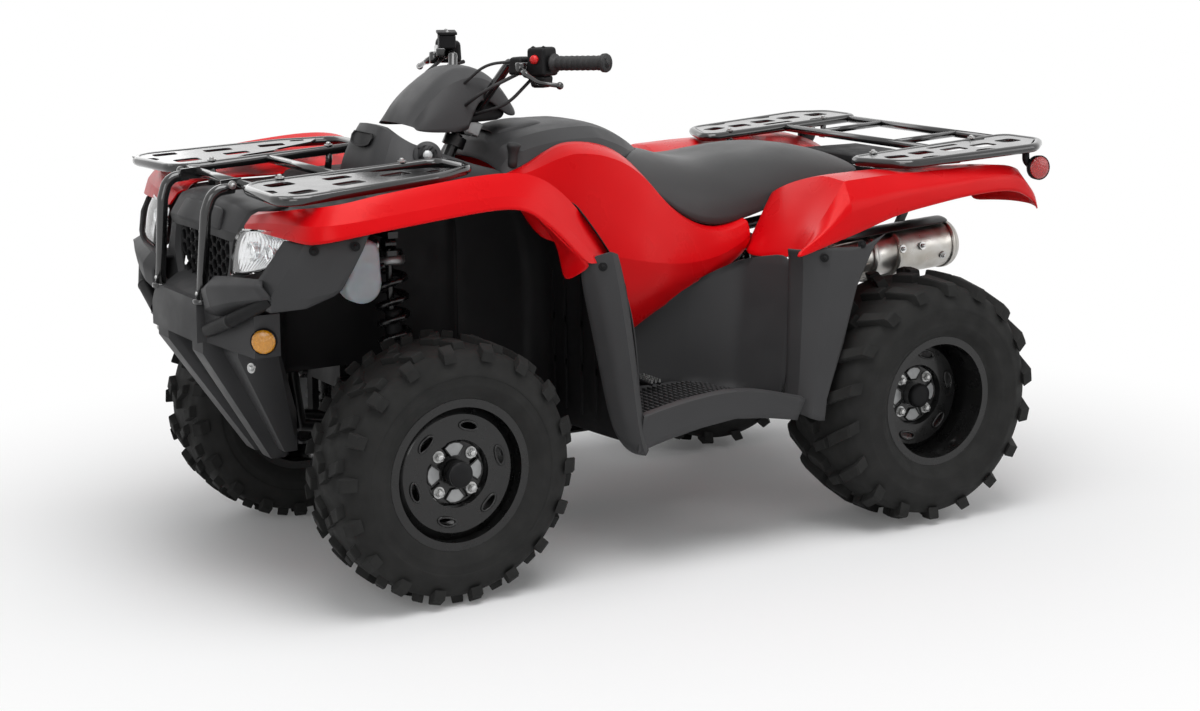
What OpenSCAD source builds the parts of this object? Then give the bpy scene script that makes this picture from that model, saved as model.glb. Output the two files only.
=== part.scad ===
// Utility quad bike with racks, brush guard and solid rear axle.
// Millimetres, +X forwards, +Y to the rider's left, +Z up, origin on the ground mid-wheelbase.

/* [Stance] */
// Distance between the front and rear axles
wheelbase = 1267; // [1150:1:1400]
// Distance between the middles of the front tyres
front_track = 800; // [790:1:900]
// Distance between the middles of the rear tyres
rear_track = 874; // [860:1:980]

/* [Front wheels] */
// Outer diameter of a front tyre
front_tyre_d = 580; // [540:1:620]
// Width of a front tyre
front_tyre_w = 205; // [190:1:215]
// Diameter over a front rim's flanges
front_rim_d = 330; // [320:1:345]
// Width over a front rim's flanges
front_rim_w = 176; // [160:1:180]

/* [Rear wheels] */
// Outer diameter of a rear tyre
rear_tyre_d = 608; // [570:1:640]
// Width of a rear tyre
rear_tyre_w = 255; // [230:1:265]
// Diameter over a rear rim's flanges
rear_rim_d = 314; // [300:1:330]
// Width over a rear rim's flanges
rear_rim_w = 214; // [200:1:220]
// Diameter of the rear axle
axle_d = 40; // [30:1:46]

/* [Steering] */
// Lean of the steering column back from upright, in degrees
column_tilt = 25; // [20:1:30]
// Reach of each steering arm from its pivot
steer_arm = 85; // [75:1:95]
// Diameter of the steering column
column_d = 28; // [24:1:32]
// Width over the ends of the grips
handlebar_w = 760; // [700:1:860]
// Diameter of the handlebar tube
bar_d = 22; // [20:1:25]
// Outer diameter of a grip
grip_d = 33; // [30:1:38]

/* [Bodywork] */
// Width over the fender lips
body_w = 1024; // [960:1:1120]
// Thickness of the moulded panels
panel_t = 6; // [4:1:8]
// Height of the lowest point of the seat's top
seat_z = 866; // [840:1:900]
// Width of the seat's skirts
seat_w = 404; // [340:1:440]

/* [Racks] */
// Diameter of the rack tubes
rack_tube_d = 22; // [18:1:26]
// Height of the middle of the front rack's tubes
front_rack_z = 890; // [880:1:910]
// Height of the middle of the rear rack's tubes
rear_rack_z = 862; // [860:1:890]
// Width over the front rack
front_rack_w = 908; // [800:1:960]
// Width over the rear rack
rear_rack_w = 990; // [860:1:1020]

/* [Hitch] */
// Diameter of the hole for a ball or pin
hitch_bore_d = 20; // [16:1:26]
// Thickness of the hitch plate
hitch_plate_t = 8; // [6:1:12]

/* [Hidden] */
$fn = 48;
front_x = wheelbase / 2;
rear_x = -wheelbase / 2;
front_r = front_tyre_d / 2;
rear_r = rear_tyre_d / 2;
front_y = front_track / 2;
rear_y = rear_track / 2;
half_w = body_w / 2;

fit_gap = 0.05;
seat_gap = 0.3;
rim_wall = 4;
flange_t = 5;
bead_depth = 14;

frame_d = 28;
rail_y = 112;
lower_rail_z = 262;
upper_rail_z = 770;
rail_foot_x = front_x + 175;
rail_foot_z = 335;
rail_front_x = front_x + 245;
rail_mid_x = front_x - 225;
rail_back_x = rear_x + 370;
rail_end_x = rear_x - 330;
seat_rail_z = 690;
arm_barrel_d = 32;
arm_pivot_y = 105;
pick_y = arm_pivot_y - arm_barrel_d / 2 - seat_gap;

kingpin_y = front_y - 75;
kingpin_d = 16;
ball_z = 92;
arm_eye_d = 36;
arm_eye_h = 22;
link_y = 18;
rod_end_d = 26;
rod_end_h = 16;
rod_z = front_r + 51;
pitman_gap = 14;
pitman_t = 8;
pin_x = front_x - steer_arm;
column_x = pin_x + steer_arm * cos(column_tilt);
column_z = rod_z + rod_end_h / 2 + pitman_gap + pitman_t / 2 + steer_arm * sin(column_tilt);
column_len = 606;
bar_along = 640;

// ---- shared shapes ----

// A rod between two points
module rod(a, b, d) {
    v = b - a;
    len = norm(v);
    translate(a)
        rotate([0, acos(v[2] / len), atan2(v[1], v[0])])
            cylinder(h = len, d = d);
}

function unit(v) = v / norm(v);

// The ball of a bend at the corner b, with its poles across the bend
module bend_ball(a, b, c, d) {
    u = unit(b - a);
    v = unit(c - b);
    across = unit(cross(u, v));
    outward = unit(u - v);
    side = cross(across, outward);
    multmatrix([
        [outward[0], side[0], across[0], b[0]],
        [outward[1], side[1], across[1], b[1]],
        [outward[2], side[2], across[2], b[2]],
        [0, 0, 0, 1]
    ])
        sphere(d = d * 1.04);
}

// Neighbouring lengths of a tube differ a little, so that their walls cross along clean lines
function length_d(d, i) = d - [0, 0.6, 0.3][i % 3];

// A bent tube through a list of points
module bent_tube(points, d) {
    for (i = [0 : len(points) - 2]) {
        rod(points[i], points[i + 1], length_d(d, i));
    }
    for (i = [1 : len(points) - 2]) {
        bend_ball(points[i - 1], points[i], points[i + 1], d);
    }
}

// A closed loop of tube
module tube_loop(points, d) {
    n = len(points);
    for (i = [0 : n - 1]) {
        rod(points[i], points[(i + 1) % n], length_d(d, i));
        bend_ball(points[(i + n - 1) % n], points[i], points[(i + 1) % n], d);
    }
}

// An outline in the side view, as thick as from y0 to y1
module side_plate(points, y0, y1) {
    translate([0, y1, 0])
        rotate([90, 0, 0])
            linear_extrude(height = y1 - y0)
                polygon(points);
}

// An outline in the plan view, as thick as from z0 to z1
module plan_plate(points, z0, z1) {
    translate([0, 0, z0])
        linear_extrude(height = z1 - z0)
            polygon(points);
}

// A block between two corners
module block(a, b) {
    translate(a)
        cube(b - a);
}

// A piece and its mirror image on the other side
module both_sides() {
    children();
    mirror([0, 1, 0])
        children();
}

function flip(points) = [for (p = points) [p[0], -p[1], p[2]]];
function move_points(points, by) = [for (p = points) p + by];

// A tyre with its axis along Y
module tyre(d, w, rim_d, rim_w) {
    r = d / 2;
    seat_r = rim_d / 2 - bead_depth + seat_gap;
    bead_y = rim_w / 2 - flange_t - seat_gap;
    half = [
        [seat_r, bead_y],
        [rim_d / 2 + 1, bead_y],
        [rim_d / 2 + 14, w / 2 - 9],
        [rim_d / 2 + 45, w / 2],
        [r - 48, w / 2 - 1],
        [r - 13, w / 2 - 14],
        [r, w / 4]
    ];
    n = len(half);
    lower = [for (i = [n - 1 : -1 : 0]) [half[i][0], -half[i][1]]];
    rotate([90, 0, 0])
        rotate_extrude($fn = 96)
            polygon(concat(half, lower));
}

// A pressed steel wheel with its axis along Y and its face on +Y.
// face_y is the height of its outer ring, hub_y that of its middle.
module wheel(rim_d, rim_w, face_y, hub_y) {
    r = rim_d / 2;
    barrel_r = r - bead_depth;
    half = rim_w / 2;
    face_r = barrel_r - 22;
    t = 5;
    hub_r = 74;
    centre_r = 30;
    slot_r = (face_r + hub_r) / 2 + 4;
    rotate([-90, 0, 0])
        difference() {
            rotate_extrude($fn = 96)
                polygon([
                    [barrel_r - rim_wall, -half],
                    [r, -half],
                    [r, -half + flange_t],
                    [barrel_r, -half + flange_t],
                    [barrel_r, half - flange_t],
                    [r, half - flange_t],
                    [r, half],
                    [barrel_r - rim_wall, half],
                    [barrel_r - rim_wall, face_y - 18 + t],
                    [face_r, face_y],
                    [hub_r, face_y],
                    [hub_r - 6, hub_y],
                    [centre_r, hub_y],
                    [centre_r, hub_y - t],
                    [hub_r - 3, hub_y - t],
                    [hub_r + 3, face_y - t],
                    [face_r, face_y - t],
                    [barrel_r - rim_wall, face_y - 18 - t]
                ]);
            for (i = [0 : 5]) {
                rotate([0, 0, i * 60 + 15])
                    translate([slot_r, 0, face_y - 40])
                        linear_extrude(height = 60)
                            union() {
                                square([15, 26], center = true);
                                translate([0, 13])
                                    circle(d = 15);
                                translate([0, -13])
                                    circle(d = 15);
                            }
            }
            for (i = [0 : 3]) {
                rotate([0, 0, i * 90 + 20])
                    translate([0, 0, hub_y - 20])
                        linear_extrude(height = 40)
                            polygon([[40, -7], [64, -11], [64, 11], [40, 7]]);
            }
        }
}

// ---- chassis ----

rail_back_top_x = rail_back_x - 40;
function seat_rail_at(x) =
    seat_rail_z + (upper_rail_z - seat_rail_z) * (rail_back_top_x - x) / (rail_back_top_x - rail_end_x);

swing_pivot_x = rail_back_x - 56;
swing_pivot_z = 340;
swing_half_w = rail_y - 15;
foot_bracket_x = [-120, 60];
shock_eye_d = 28;
shock_mount_t = 14;

module frame() {
    rail = [
        [rail_mid_x, rail_y - 20, upper_rail_z],
        [rail_front_x, rail_y - 20, upper_rail_z],
        [rail_foot_x, 62, rail_foot_z],
        [front_x - 100, 66, 285],
        [rail_mid_x, rail_y, lower_rail_z],
        [rail_back_x, rail_y, lower_rail_z],
        [rail_back_top_x, rail_y, seat_rail_z],
        [rail_end_x, rail_y, upper_rail_z]
    ];
    tank_rail = [
        [rail_mid_x + 12, rail_y - 20, upper_rail_z - 3],
        [rail_back_top_x + 3, rail_y - 3, seat_rail_z - 12]
    ];
    seat_bar = [rear_x + 60, rail_y, seat_rail_at(rear_x + 60)];
    head = [column_x, 0, column_z];
    up = [-sin(column_tilt), 0, cos(column_tilt)];
    low_bearing = head + up * 70;
    high_bearing = head + up * (upper_rail_z - 14 - column_z) / cos(column_tilt);
    color("dimgray")
        difference() {
            union() {
                both_sides() {
                    bent_tube(rail, frame_d);
                    bent_tube(tank_rail, frame_d * 0.85);
                    // ears that hold the swingarm's pivot
                    block([swing_pivot_x - 20, swing_half_w + seat_gap, swing_pivot_z - 18],
                          [rail_back_x + 6, rail_y + 12, swing_pivot_z + 18]);
                    // brackets under the footwells
                    for (x = foot_bracket_x) {
                        rod([x, rail_y, lower_rail_z], [x, 290, floor_z - 26], 24);
                        block([x - 18, 270, floor_z - 30], [x + 18, 320, floor_z - 8 - seat_gap]);
                    }
                }
                for (p = [rail[6], rail[7], seat_bar]) {
                    rod(p, [p[0], -p[1], p[2]], frame_d * 0.9);
                }
                // cross members of the lower and the front rails
                for (p = [rail[2] - [6, 0, 2], rail[4] - [20, 0, 0], rail[5] + [20, 0, 0], rail[1] - [30, 0, 0],
                          rail[0] + [14, 0, 0]]) {
                    block([p[0] - 9, -p[1], p[2] - 10], [p[0] + 9, p[1], p[2] + 10]);
                }
                // bearings for the steering column
                rod(low_bearing - up * 20, low_bearing + up * 20, column_d + 16);
                block([front_x - 80, -10, low_bearing[2] - 6], [front_x + 80, 10, low_bearing[2] + 6]);
                rod(high_bearing - up * 20, high_bearing + up * 20, column_d + 16);
                block([rail_mid_x, -10, upper_rail_z - 20], [rail_front_x, 10, upper_rail_z - 8]);
                // pick-ups for the suspension arms, open at the back for the tie rods
                for (x = [front_x - 80, front_x + 80]) {
                    block([x - 8, -pick_y, 278], [x + 8, pick_y, 314]);
                    block([x - 8, -pick_y, 410], [x + 8, pick_y, low_bearing[2] + 6]);
                }
                for (y = [-pick_y, 62]) {
                    block([front_x + 72, y, 300], [front_x + 88, y + pick_y - 62, 430]);
                }
                // shock absorber mounts
                block([front_x - 12, -190, upper_rail_z - shock_mount_t], [front_x + 12, 190, upper_rail_z]);
                block([rail_back_top_x - 60, -18, seat_rail_z - 8], [rail_back_top_x, 18, seat_rail_z + 8]);
                // carrier for the coolant bottle
                block([front_x + 104, rail_y - 22, bottle_top_z + seat_gap], [front_x + 120, 270, bottle_top_z + 6]);
            }
            rod(head - up * 40, head + up * 560, column_d + 2 * fit_gap);
        }
}

engine_back_x = rail_back_x + 45;
engine_front_x = rail_mid_x - 60;
engine_half_w = 128;
crankcase_z = 500;
module engine() {
    color("gray")
        union() {
            block([engine_back_x, -engine_half_w, lower_rail_z + 30], [engine_front_x, engine_half_w, crankcase_z]);
            block([engine_back_x + 120, -100, crankcase_z], [engine_front_x - 20, 100, 650]);
            // feet on the lower rails
            for (x = [engine_back_x + 30, engine_front_x - 60]) {
                for (y = [-rail_y, rail_y]) {
                    block([x, y - 10, lower_rail_z + frame_d / 2 + seat_gap], [x + 40, y + 10, lower_rail_z + 40]);
                }
            }
        }
}

housing_d = 84;
swing_boss_h = 75;
module swingarm() {
    pivot = [swing_pivot_x, 0, swing_pivot_z];
    axle = [rear_x, 0, rear_r];
    color("dimgray")
        difference() {
            union() {
                rod(pivot - [0, swing_half_w, 0], pivot + [0, swing_half_w, 0], 44);
                for (y = [-75, 75]) {
                    rod(pivot + [0, y, 0], axle + [0, y, 0], 40);
                }
                rod(axle + [0, -230, 0], axle + [0, 190, 0], housing_d);
                rod(axle + [0, -235, 0], axle + [0, -165, 0], 190);
                rod(axle + [0, 40, 0], axle + [0, 120, 0], 180);
                block(axle + [-20, -14, 30], axle + [20, 14, swing_boss_h]);
            }
            rod(axle + [0, -300, 0], axle + [0, 300, 0], axle_d + 2 * fit_gap);
        }
}

module suspension_arm(z_inner, z_outer, spread, d, bridge) {
    eye = [front_x, kingpin_y, z_outer];
    difference() {
        union() {
            for (s = [-1, 1]) {
                rod([front_x + s * spread, arm_pivot_y, z_inner], eye, d);
                translate([front_x + s * spread, arm_pivot_y, z_inner])
                    rotate([0, 90, 0])
                        cylinder(h = 36, d = arm_barrel_d, center = true);
            }
            translate(eye)
                cylinder(h = arm_eye_h, d = arm_eye_d, center = true);
            // bridge between the two legs
            rod([front_x - spread * (1 - bridge), arm_pivot_y + bridge * (kingpin_y - arm_pivot_y),
                 z_inner + bridge * (z_outer - z_inner)],
                [front_x + spread * (1 - bridge), arm_pivot_y + bridge * (kingpin_y - arm_pivot_y),
                 z_inner + bridge * (z_outer - z_inner)], d * 0.96);
        }
        translate(eye)
            cylinder(h = 60, d = kingpin_d + 2 * fit_gap, center = true);
    }
}

module suspension_arms() {
    color("#1c1c1e")
        both_sides() {
            suspension_arm(lower_arm_z, front_r - ball_z, 80, 24, lower_bridge);
            suspension_arm(425, front_r + ball_z, 80, 20, 0.72);
        }
}

lower_arm_z = 296;
lower_bridge = 0.39;
bridge_y = arm_pivot_y + lower_bridge * (kingpin_y - arm_pivot_y);
bridge_z = lower_arm_z + lower_bridge * (front_r - ball_z - lower_arm_z);

// ends of the shock absorbers, front left and rear
shock_top = [front_x, 165, upper_rail_z - shock_mount_t - shock_eye_d / 2 - seat_gap];
shock_foot = [front_x, bridge_y, bridge_z + 24 * 0.48 + shock_eye_d / 2 + seat_gap];
rear_shock_top = [rail_back_top_x - 34, 0, seat_rail_z - 8 - shock_eye_d / 2 - seat_gap];
rear_shock_foot = [rear_x, 0, rear_r + swing_boss_h + shock_eye_d / 2 + seat_gap];

module damper(foot, top, eye_turn) {
    along = (top - foot) / norm(top - foot);
    rod(foot, top, 16);
    rod(foot + along * 14, foot + along * 40, 62);
    rod(top - along * 40, top - along * 14, 62);
    rod(foot + along * 12, foot + along * 170, 40);
    for (p = [foot, top]) {
        translate(p)
            rotate(eye_turn)
                cylinder(h = 26, d = shock_eye_d, center = true);
    }
}

module spring_tube(foot, top) {
    along = (top - foot) / norm(top - foot);
    difference() {
        rod(foot + along * (40 + seat_gap), top - along * (40 + seat_gap), 70);
        rod(foot, top, 46);
    }
}

module shock_dampers() {
    color("#1a1a1a")
        union() {
            both_sides()
                damper(shock_foot, shock_top, [0, 90, 0]);
            damper(rear_shock_foot, rear_shock_top, [90, 0, 0]);
        }
}

module shock_springs() {
    color("#141414")
        union() {
            both_sides()
                spring_tube(shock_foot, shock_top);
            spring_tube(rear_shock_foot, rear_shock_top);
        }
}

skid_z = lower_rail_z - frame_d * 0.52 - seat_gap;
module skid_plate() {
    color("#2a2a2c")
        plan_plate([
            [rail_mid_x + 60, -95], [rail_mid_x + 60, 95], [rail_mid_x - 40, 135],
            [rail_back_x - 20, 135], [rail_back_x - 20, -135], [rail_mid_x - 40, -135]
        ], skid_z - 5, skid_z);
}

hitch_x = rear_x - 225;
hitch_z = 395;
module hitch() {
    hang_x = rail_end_x + 60;
    hang_z = seat_rail_at(hang_x + 12) - frame_d * 0.52 - seat_gap;
    color("#202022")
        difference() {
            union() {
                block([hitch_x - 30, -40, hitch_z], [rear_x - 110, 40, hitch_z + hitch_plate_t]);
                block([rear_x - 118, -40, hitch_z], [rear_x - 110, 40, 460]);
                block([rear_x - 118, -rail_y - 6, 440], [rear_x - 98, rail_y + 6, 460]);
                // hangers under the rails
                for (y = [-rail_y, rail_y]) {
                    side_plate([
                        [rear_x - 118, 450], [rear_x - 98, 450], [hang_x + 12, hang_z], [hang_x - 12, hang_z]
                    ], y - 6, y + 6);
                }
            }
            translate([hitch_x, 0, hitch_z - 15])
                cylinder(h = 60, d = hitch_bore_d);
        }
}

// ---- front end ----

nose_x = front_x + 436;
nose_y = 130;
bumper_top_z = 650;
wing_top_z = 640;
wing_y = 300;
wing_x = nose_x - 87;
module bumper_shape() {
    hull()
        both_sides() {
            block([nose_x - 70, 0, 600], [nose_x - 6, nose_y - 12, bumper_top_z]);
            block([nose_x - 66, 0, 560], [nose_x, nose_y, 612]);
        }
    both_sides() {
        hull() {
            block([nose_x - 60, nose_y - 40, 560], [nose_x - 20, nose_y, wing_top_z]);
            block([wing_x - 29, wing_y - 14, 550], [wing_x + 29, wing_y, wing_top_z]);
        }
        hull() {
            block([nose_x - 40, 70, 535], [nose_x - 12, nose_y, 570]);
            block([front_x + 215, 20, 268], [front_x + 250, 70, 300]);
        }
        hull() {
            block([nose_x - 150, 110, 535], [nose_x - 60, 205, 560]);
            block([front_x + 205, 30, 290], [front_x + 235, 110, 380]);
        }
    }
    block([front_x + 205, -60, 268], [front_x + 240, 60, 300]);
    // lug on the frame's front tube
    block([rail_foot_x + frame_d * 0.45 + seat_gap, -50, rail_foot_z - 10], [front_x + 220, 50, rail_foot_z + 10]);
}

module front_bumper() {
    color("#4a4a4c")
        union()
            bumper_shape();
}

bar_end = [front_x + 350, 362, 683];
module bumper_bar() {
    path = [[nose_x - 18, 150, 590], [nose_x - 28, 250, 625], bar_end + [12, 0, 0]];
    color("#3c3c3e")
        difference() {
            both_sides()
                bent_tube(path, 30);
            bumper_shape();
        }
}

guard_d = 25;
guard_y = 130;
guard_foot_z = bumper_top_z + 1.4 + seat_gap;
guard_end_x = front_x + 352;
module brush_guard() {
    path = [
        [front_x + 419, guard_y - 11, guard_foot_z], [front_x + 404, guard_y - 5, 842],
        [front_x + 388, guard_y - 1, front_rack_z - 14], [guard_end_x, guard_y, front_rack_z - 6]
    ];
    color("#161616")
        both_sides()
            bent_tube(path, guard_d);
}

panel_y = 209;
nose_rim_z = 843;
nose_pad_z = nose_rim_z + 3;
grille_half_w = 158;
module front_panel() {
    color("#4a4a4c")
        union() {
            // upper face across the nose
            hull()
                both_sides() {
                    block([front_x + 350, 0, 775], [front_x + 372, 150, 800]);
                    block([front_x + 320, 0, 850], [front_x + 345, 100, 858]);
                    block([front_x + 245 + seat_gap, 150, 838], [front_x + 300, 205, nose_rim_z]);
                }
            // cheeks between the grille and the headlights
            both_sides()
                hull() {
                    block([front_x + 340, grille_half_w, bumper_top_z], [front_x + 366, 200, 800]);
                    block([front_x + 300, 200, 655], [front_x + 318, panel_y, 810]);
                }
            // pads under the rack's legs
            for (y = [-front_rack_rail, front_rack_rail]) {
                block([front_x + 247, y - 10, 835], [front_x + 268, y + 10, nose_pad_z]);
            }
            // sill below the grille
            block([front_x + 300, -grille_half_w, bumper_top_z + seat_gap], [front_x + 372, grille_half_w, 672]);
        }
}

grille_x = front_x + 344;
module grille() {
    half = grille_half_w - seat_gap;
    color("#2c2c2e")
        block([grille_x, -half, 672 + seat_gap], [grille_x + 10, half, 775 - seat_gap]);
}

module headlight(gap) {
    hull() {
        block([front_x + 325 - gap, panel_y + seat_gap, 745 - gap], [front_x + 372 + gap, 222, 812 + gap]);
        block([front_x + 290 - gap, 330, 728 - gap], [front_x + 350 + gap, 340 + gap, 812 + gap]);
        block([front_x + 255 - gap, 372, 780 - gap], [front_x + 300 + gap, 380 + gap, 812 + gap]);
    }
}

module headlights() {
    color("#e8ecef")
        both_sides()
            headlight(0);
}

module amber_reflectors() {
    color("#f0a000")
        both_sides()
            translate([wing_x, wing_y + seat_gap, 586])
                rotate([-90, 0, 0])
                    cylinder(h = 7, d = 54);
}

tail_plate_x = rear_x - 351;
tail_y = 450;
tail_z = 808;
module tail_reflectors() {
    color("#b01018")
        both_sides()
            tipped(rear_rack_front, rear_rack_z)
                translate([tail_plate_x - seat_gap, tail_y, tail_z])
                    rotate([0, -90, 0])
                        cylinder(h = 18, d = 58);
}

// ---- fenders and panels ----

fender_crest = [
    [366, 848], [298, 874], [188, 892], [55, 909], [-97, 921], [-181, 918], [-244, 884], [-309, 818], [-375, 740]
];
fender_lip = [
    [-330, 715], [-303, 727], [-233, 789], [-180, 826], [-117, 850], [76, 839], [229, 823], [360, 814]
];
function at_front(points, dz = 0) = [for (p = points) [p[0] + front_x, p[1] + dz]];
function backwards(points) = [for (i = [len(points) - 1 : -1 : 0]) points[i]];

// the top between the lip and the deck lies low under the rack
fender_top = [
    [366, 836], [298, 842], [100, 856], [-112, 866], [-146, 896], [-181, 912], [-244, 878], [-309, 812], [-375, 734]
];
fender_in = 215;
module front_fenders() {
    skin = at_front(fender_top);
    under = backwards(at_front(fender_top, -panel_t));
    color("#d8141c")
        both_sides()
            union() {
                side_plate(concat(at_front(fender_crest), at_front(fender_lip)), half_w - 46, half_w);
                difference() {
                    side_plate(concat(skin, under), fender_in, half_w - 40);
                    block([front_x - 420, 0, 700], [front_x - 130, 236, 950]);
                }
            }
}

module side_guards() {
    color("#4a4a4c")
        both_sides()
            difference() {
                hull() {
                    block([front_x + 205, 440, 770], [front_x + 235, 446, 808]);
                    block([front_x + 320, 330, 690], [front_x + 340, 345, 722]);
                    block([front_x + 235, 400, 690], [front_x + 262, 406, 700]);
                    block([front_x + 322, 270, wing_top_z + seat_gap], [front_x + 360, 286, 690]);
                    block([front_x + 270, 400, 650], [front_x + 300, 406, 700]);
                }
                headlight(seat_gap);
            }
}

liner_y = 133;
liner_back_x = front_x - 398;
module arch_liners() {
    color("#1b1b1c")
        both_sides()
            union() {
                block([liner_back_x, liner_y, 300], [front_x - 186, liner_y + panel_t, 800]);
                plan_plate([
                    [liner_back_x, liner_y], [liner_back_x + panel_t, liner_y],
                    [front_x - 436, mudguard_in - seat_gap], [front_x - 436 - panel_t, mudguard_in - seat_gap]
                ], 300, 705);
            }
}

mudguard_in = half_w - 58;
mudguard_top_x = front_x - 345;
mudguard_foot_x = front_x - 442;
module front_mudguards() {
    color("#4a4a4c")
        both_sides()
            side_plate([
                [mudguard_top_x + 26, 712], [mudguard_top_x - 38, 728], [mudguard_top_x - 62, 600],
                [mudguard_foot_x - 6, 330], [mudguard_foot_x - 4, 283], [mudguard_foot_x + 14, 300],
                [mudguard_foot_x + 46, 420], [mudguard_top_x - 6, 640]
            ], mudguard_in, half_w - 4);
}

floor_z = 345;
well_front_x = mudguard_foot_x - 6 - seat_gap;
well_back_x = rear_x + 366;
well_in = 168;
module footwells() {
    color("#3a3a3c")
        both_sides()
            union() {
                block([well_back_x, well_in, floor_z - 8], [well_front_x, half_w - 8, floor_z]);
                block([well_back_x, half_w - 20, floor_z - 45], [well_front_x, half_w - 2, floor_z + 22]);
                side_plate([
                    [well_back_x, floor_z - 8], [well_front_x - 90, floor_z - 8], [well_front_x - 140, floor_z + 130],
                    [rear_x + 540, floor_z + 225], [well_back_x + 14, floor_z + 318], [well_back_x, floor_z + 318]
                ], well_in, well_in + panel_t);
                block([well_back_x, well_in, floor_z - 8], [well_back_x + panel_t, half_w - 60, floor_z + 285]);
                block([well_back_x, cover_in + 56 + seat_gap, floor_z], [well_back_x + panel_t, half_w - 60, floor_z + 318]);
            }
}

module rear_mudguards() {
    color("#4a4a4c")
        both_sides()
            side_plate([
                [well_back_x - seat_gap, 300], [well_back_x - 20, 290], [well_back_x - 50, 330],
                [well_back_x - 106, 592], [rear_x + 193, 714 - seat_gap], [rear_x + 304, 700 - seat_gap],
                [well_back_x - seat_gap, 700 - seat_gap]
            ], half_w - 130, half_w - 18);
}

deck_z = 866;
module front_deck() {
    post_z = upper_rail_z + frame_d * 0.52 + seat_gap;
    half = fender_in - seat_gap;
    color("#303032")
        union() {
            block([front_x + 20, -half, 840], [front_x + 245, half, 852]);
            block([front_x - 95, -half, 848], [front_x + 30, half, deck_z]);
            // posts on the upper rails
            for (x = [front_x - 60, front_x + 60]) {
                for (y = [20 - rail_y, rail_y - 20]) {
                    block([x, y - 10, post_z], [x + 30, y + 10, 850]);
                }
            }
        }
}

// the top of the console and the underside of the cover turn past each other here
sweep_x = front_x - 88;
sweep_z = 985;
console_gap = 8;
console_z = deck_z + seat_gap;
console_back_x = front_x - 300;
module console() {
    front = front_x - 2;
    color("#3c3c3e")
        difference() {
            hull()
                both_sides() {
                    block([front - 10, 0, console_z], [front, 90, 900]);
                    block([front - 30, 0, 960], [front - 20, 60, 996]);
                    block([front - 60, 0, console_z], [front - 40, 150, 905]);
                    block([console_back_x, 0, console_z], [console_back_x + 30, 165, 880]);
                    block([console_back_x + 60, 100, 880], [console_back_x + 110, 160, 915]);
                }
            // room for the cover to turn over it
            translate([sweep_x, 0, sweep_z - console_gap])
                rotate([0, -column_tilt, 0])
                    translate([-600, -300, 0])
                        cube([616, 600, 200]);
            // room for the column
            translate([column_x, 0, column_z])
                rotate([0, -column_tilt, 0])
                    cylinder(h = 700, d = column_d + 40);
        }
}

tank_front_x = 296;
cover_in = well_in + panel_t + seat_gap;
// where the seat's nose wraps round the tank, in plan
module tank_seam(gap) {
    translate([-gap, 0, 700])
        linear_extrude(height = 400)
            polygon([
                [tank_front_x + 60, -400], [tank_front_x + 60, 400], [20, 400], [8, 190], [-90, 50],
                [-90, -50], [8, -190], [20, -400]
            ]);
}

module tank_cover() {
    half = cover_in - seat_gap;
    color("#4a4a4c")
        intersection() {
            hull()
                both_sides() {
                    block([tank_front_x - 30, 0, 935], [tank_front_x, 60, 955]);
                    block([tank_front_x - 60, 60, 880], [tank_front_x, 150, 925]);
                    block([60, 0, 955], [200, 60, 974]);
                    block([40, 100, 880], [200, half, 932]);
                    block([-100, 0, 870], [-60, 60, 890]);
                    block([-30, 60, 862], [20, half - 20, 900]);
                }
            tank_seam(0);
        }
}

module side_covers() {
    color("#d8141c")
        both_sides()
            union() {
                side_plate([
                    [tank_front_x, 868], [tank_front_x - 40, 928], [178, 938], [129, 934], [30, 890], [2, 852],
                    [-24, 796], [-124, 725], [-196, 700], [-283, 716], [rear_x + 350, 655], [-106, 558], [6, 520],
                    [61, 520], [120, 580], [200, 700], [260, 800]
                ], cover_in, cover_in + 56);
                side_plate([
                    [200, 700], [120, 580], [61, 480], [40, 520], [-60, 640], [40, 780], [180, 860], [225, 800]
                ], cover_in + 40, cover_in + 100);
            }
}

module seat() {
    hw = seat_w / 2;
    foot_x = rear_x + 60;
    foot_z = seat_rail_at(foot_x) + frame_d * 0.45 + seat_gap;
    base_z = 800;
    color("#3c3c3e")
        union() {
            difference() {
                hull()
                    both_sides() {
                        block([-6, 0, 885], [12, 60, 905]);
                        block([-10, 0, 850], [10, hw - 70, 880]);
                        block([-230, 0, 850], [-150, 110, seat_z]);
                        block([-240, 0, 730], [-150, hw, 765]);
                        block([-330, 0, 737], [-280, hw, 780]);
                        block([-560, 0, 800], [-540, hw - 20, 812]);
                        block([-600, 0, 850], [-440, 110, seat_z + 6]);
                        block([-720, 0, base_z], [-690, 90, 822]);
                    }
                tank_seam(seat_gap);
                block([-700, -140, 700], [60, 140, base_z]);
            }
            // feet on the frame's cross tube
            for (y = [-60, 60]) {
                block([foot_x - 12, y - 15, foot_z], [foot_x + 12, y + 15, base_z + 5]);
            }
        }
}

rear_crest = [
    [510, 722], [440, 790], [337, 837], [196, 835], [76, 833], [-235, 846], [-301, 845], [-336, 793], [-362, 741]
];
rear_lip = [
    [-334, 747], [-285, 794], [-84, 783], [113, 750], [193, 714], [304, 700], [420, 702], [500, 690]
];
function at_rear(points, dz = 0) = [for (p = points) [p[0] + rear_x, p[1] + dz]];
module rear_fenders() {
    skin = at_rear(rear_crest);
    under = backwards(at_rear(rear_crest, -panel_t));
    color("#d8141c")
        both_sides()
            union() {
                difference() {
                    side_plate(concat(skin, at_rear(rear_lip)), half_w - 66, half_w - 16);
                    block([rear_x + 380, half_w - 60, 600], [rear_x + 600, half_w, 900]);
                }
                difference() {
                    side_plate(concat(skin, under), 215, half_w - 60);
                    block([rear_x + 70, 0, 700], [rear_x + 600, 262, 950]);
                }
            }
}

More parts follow.
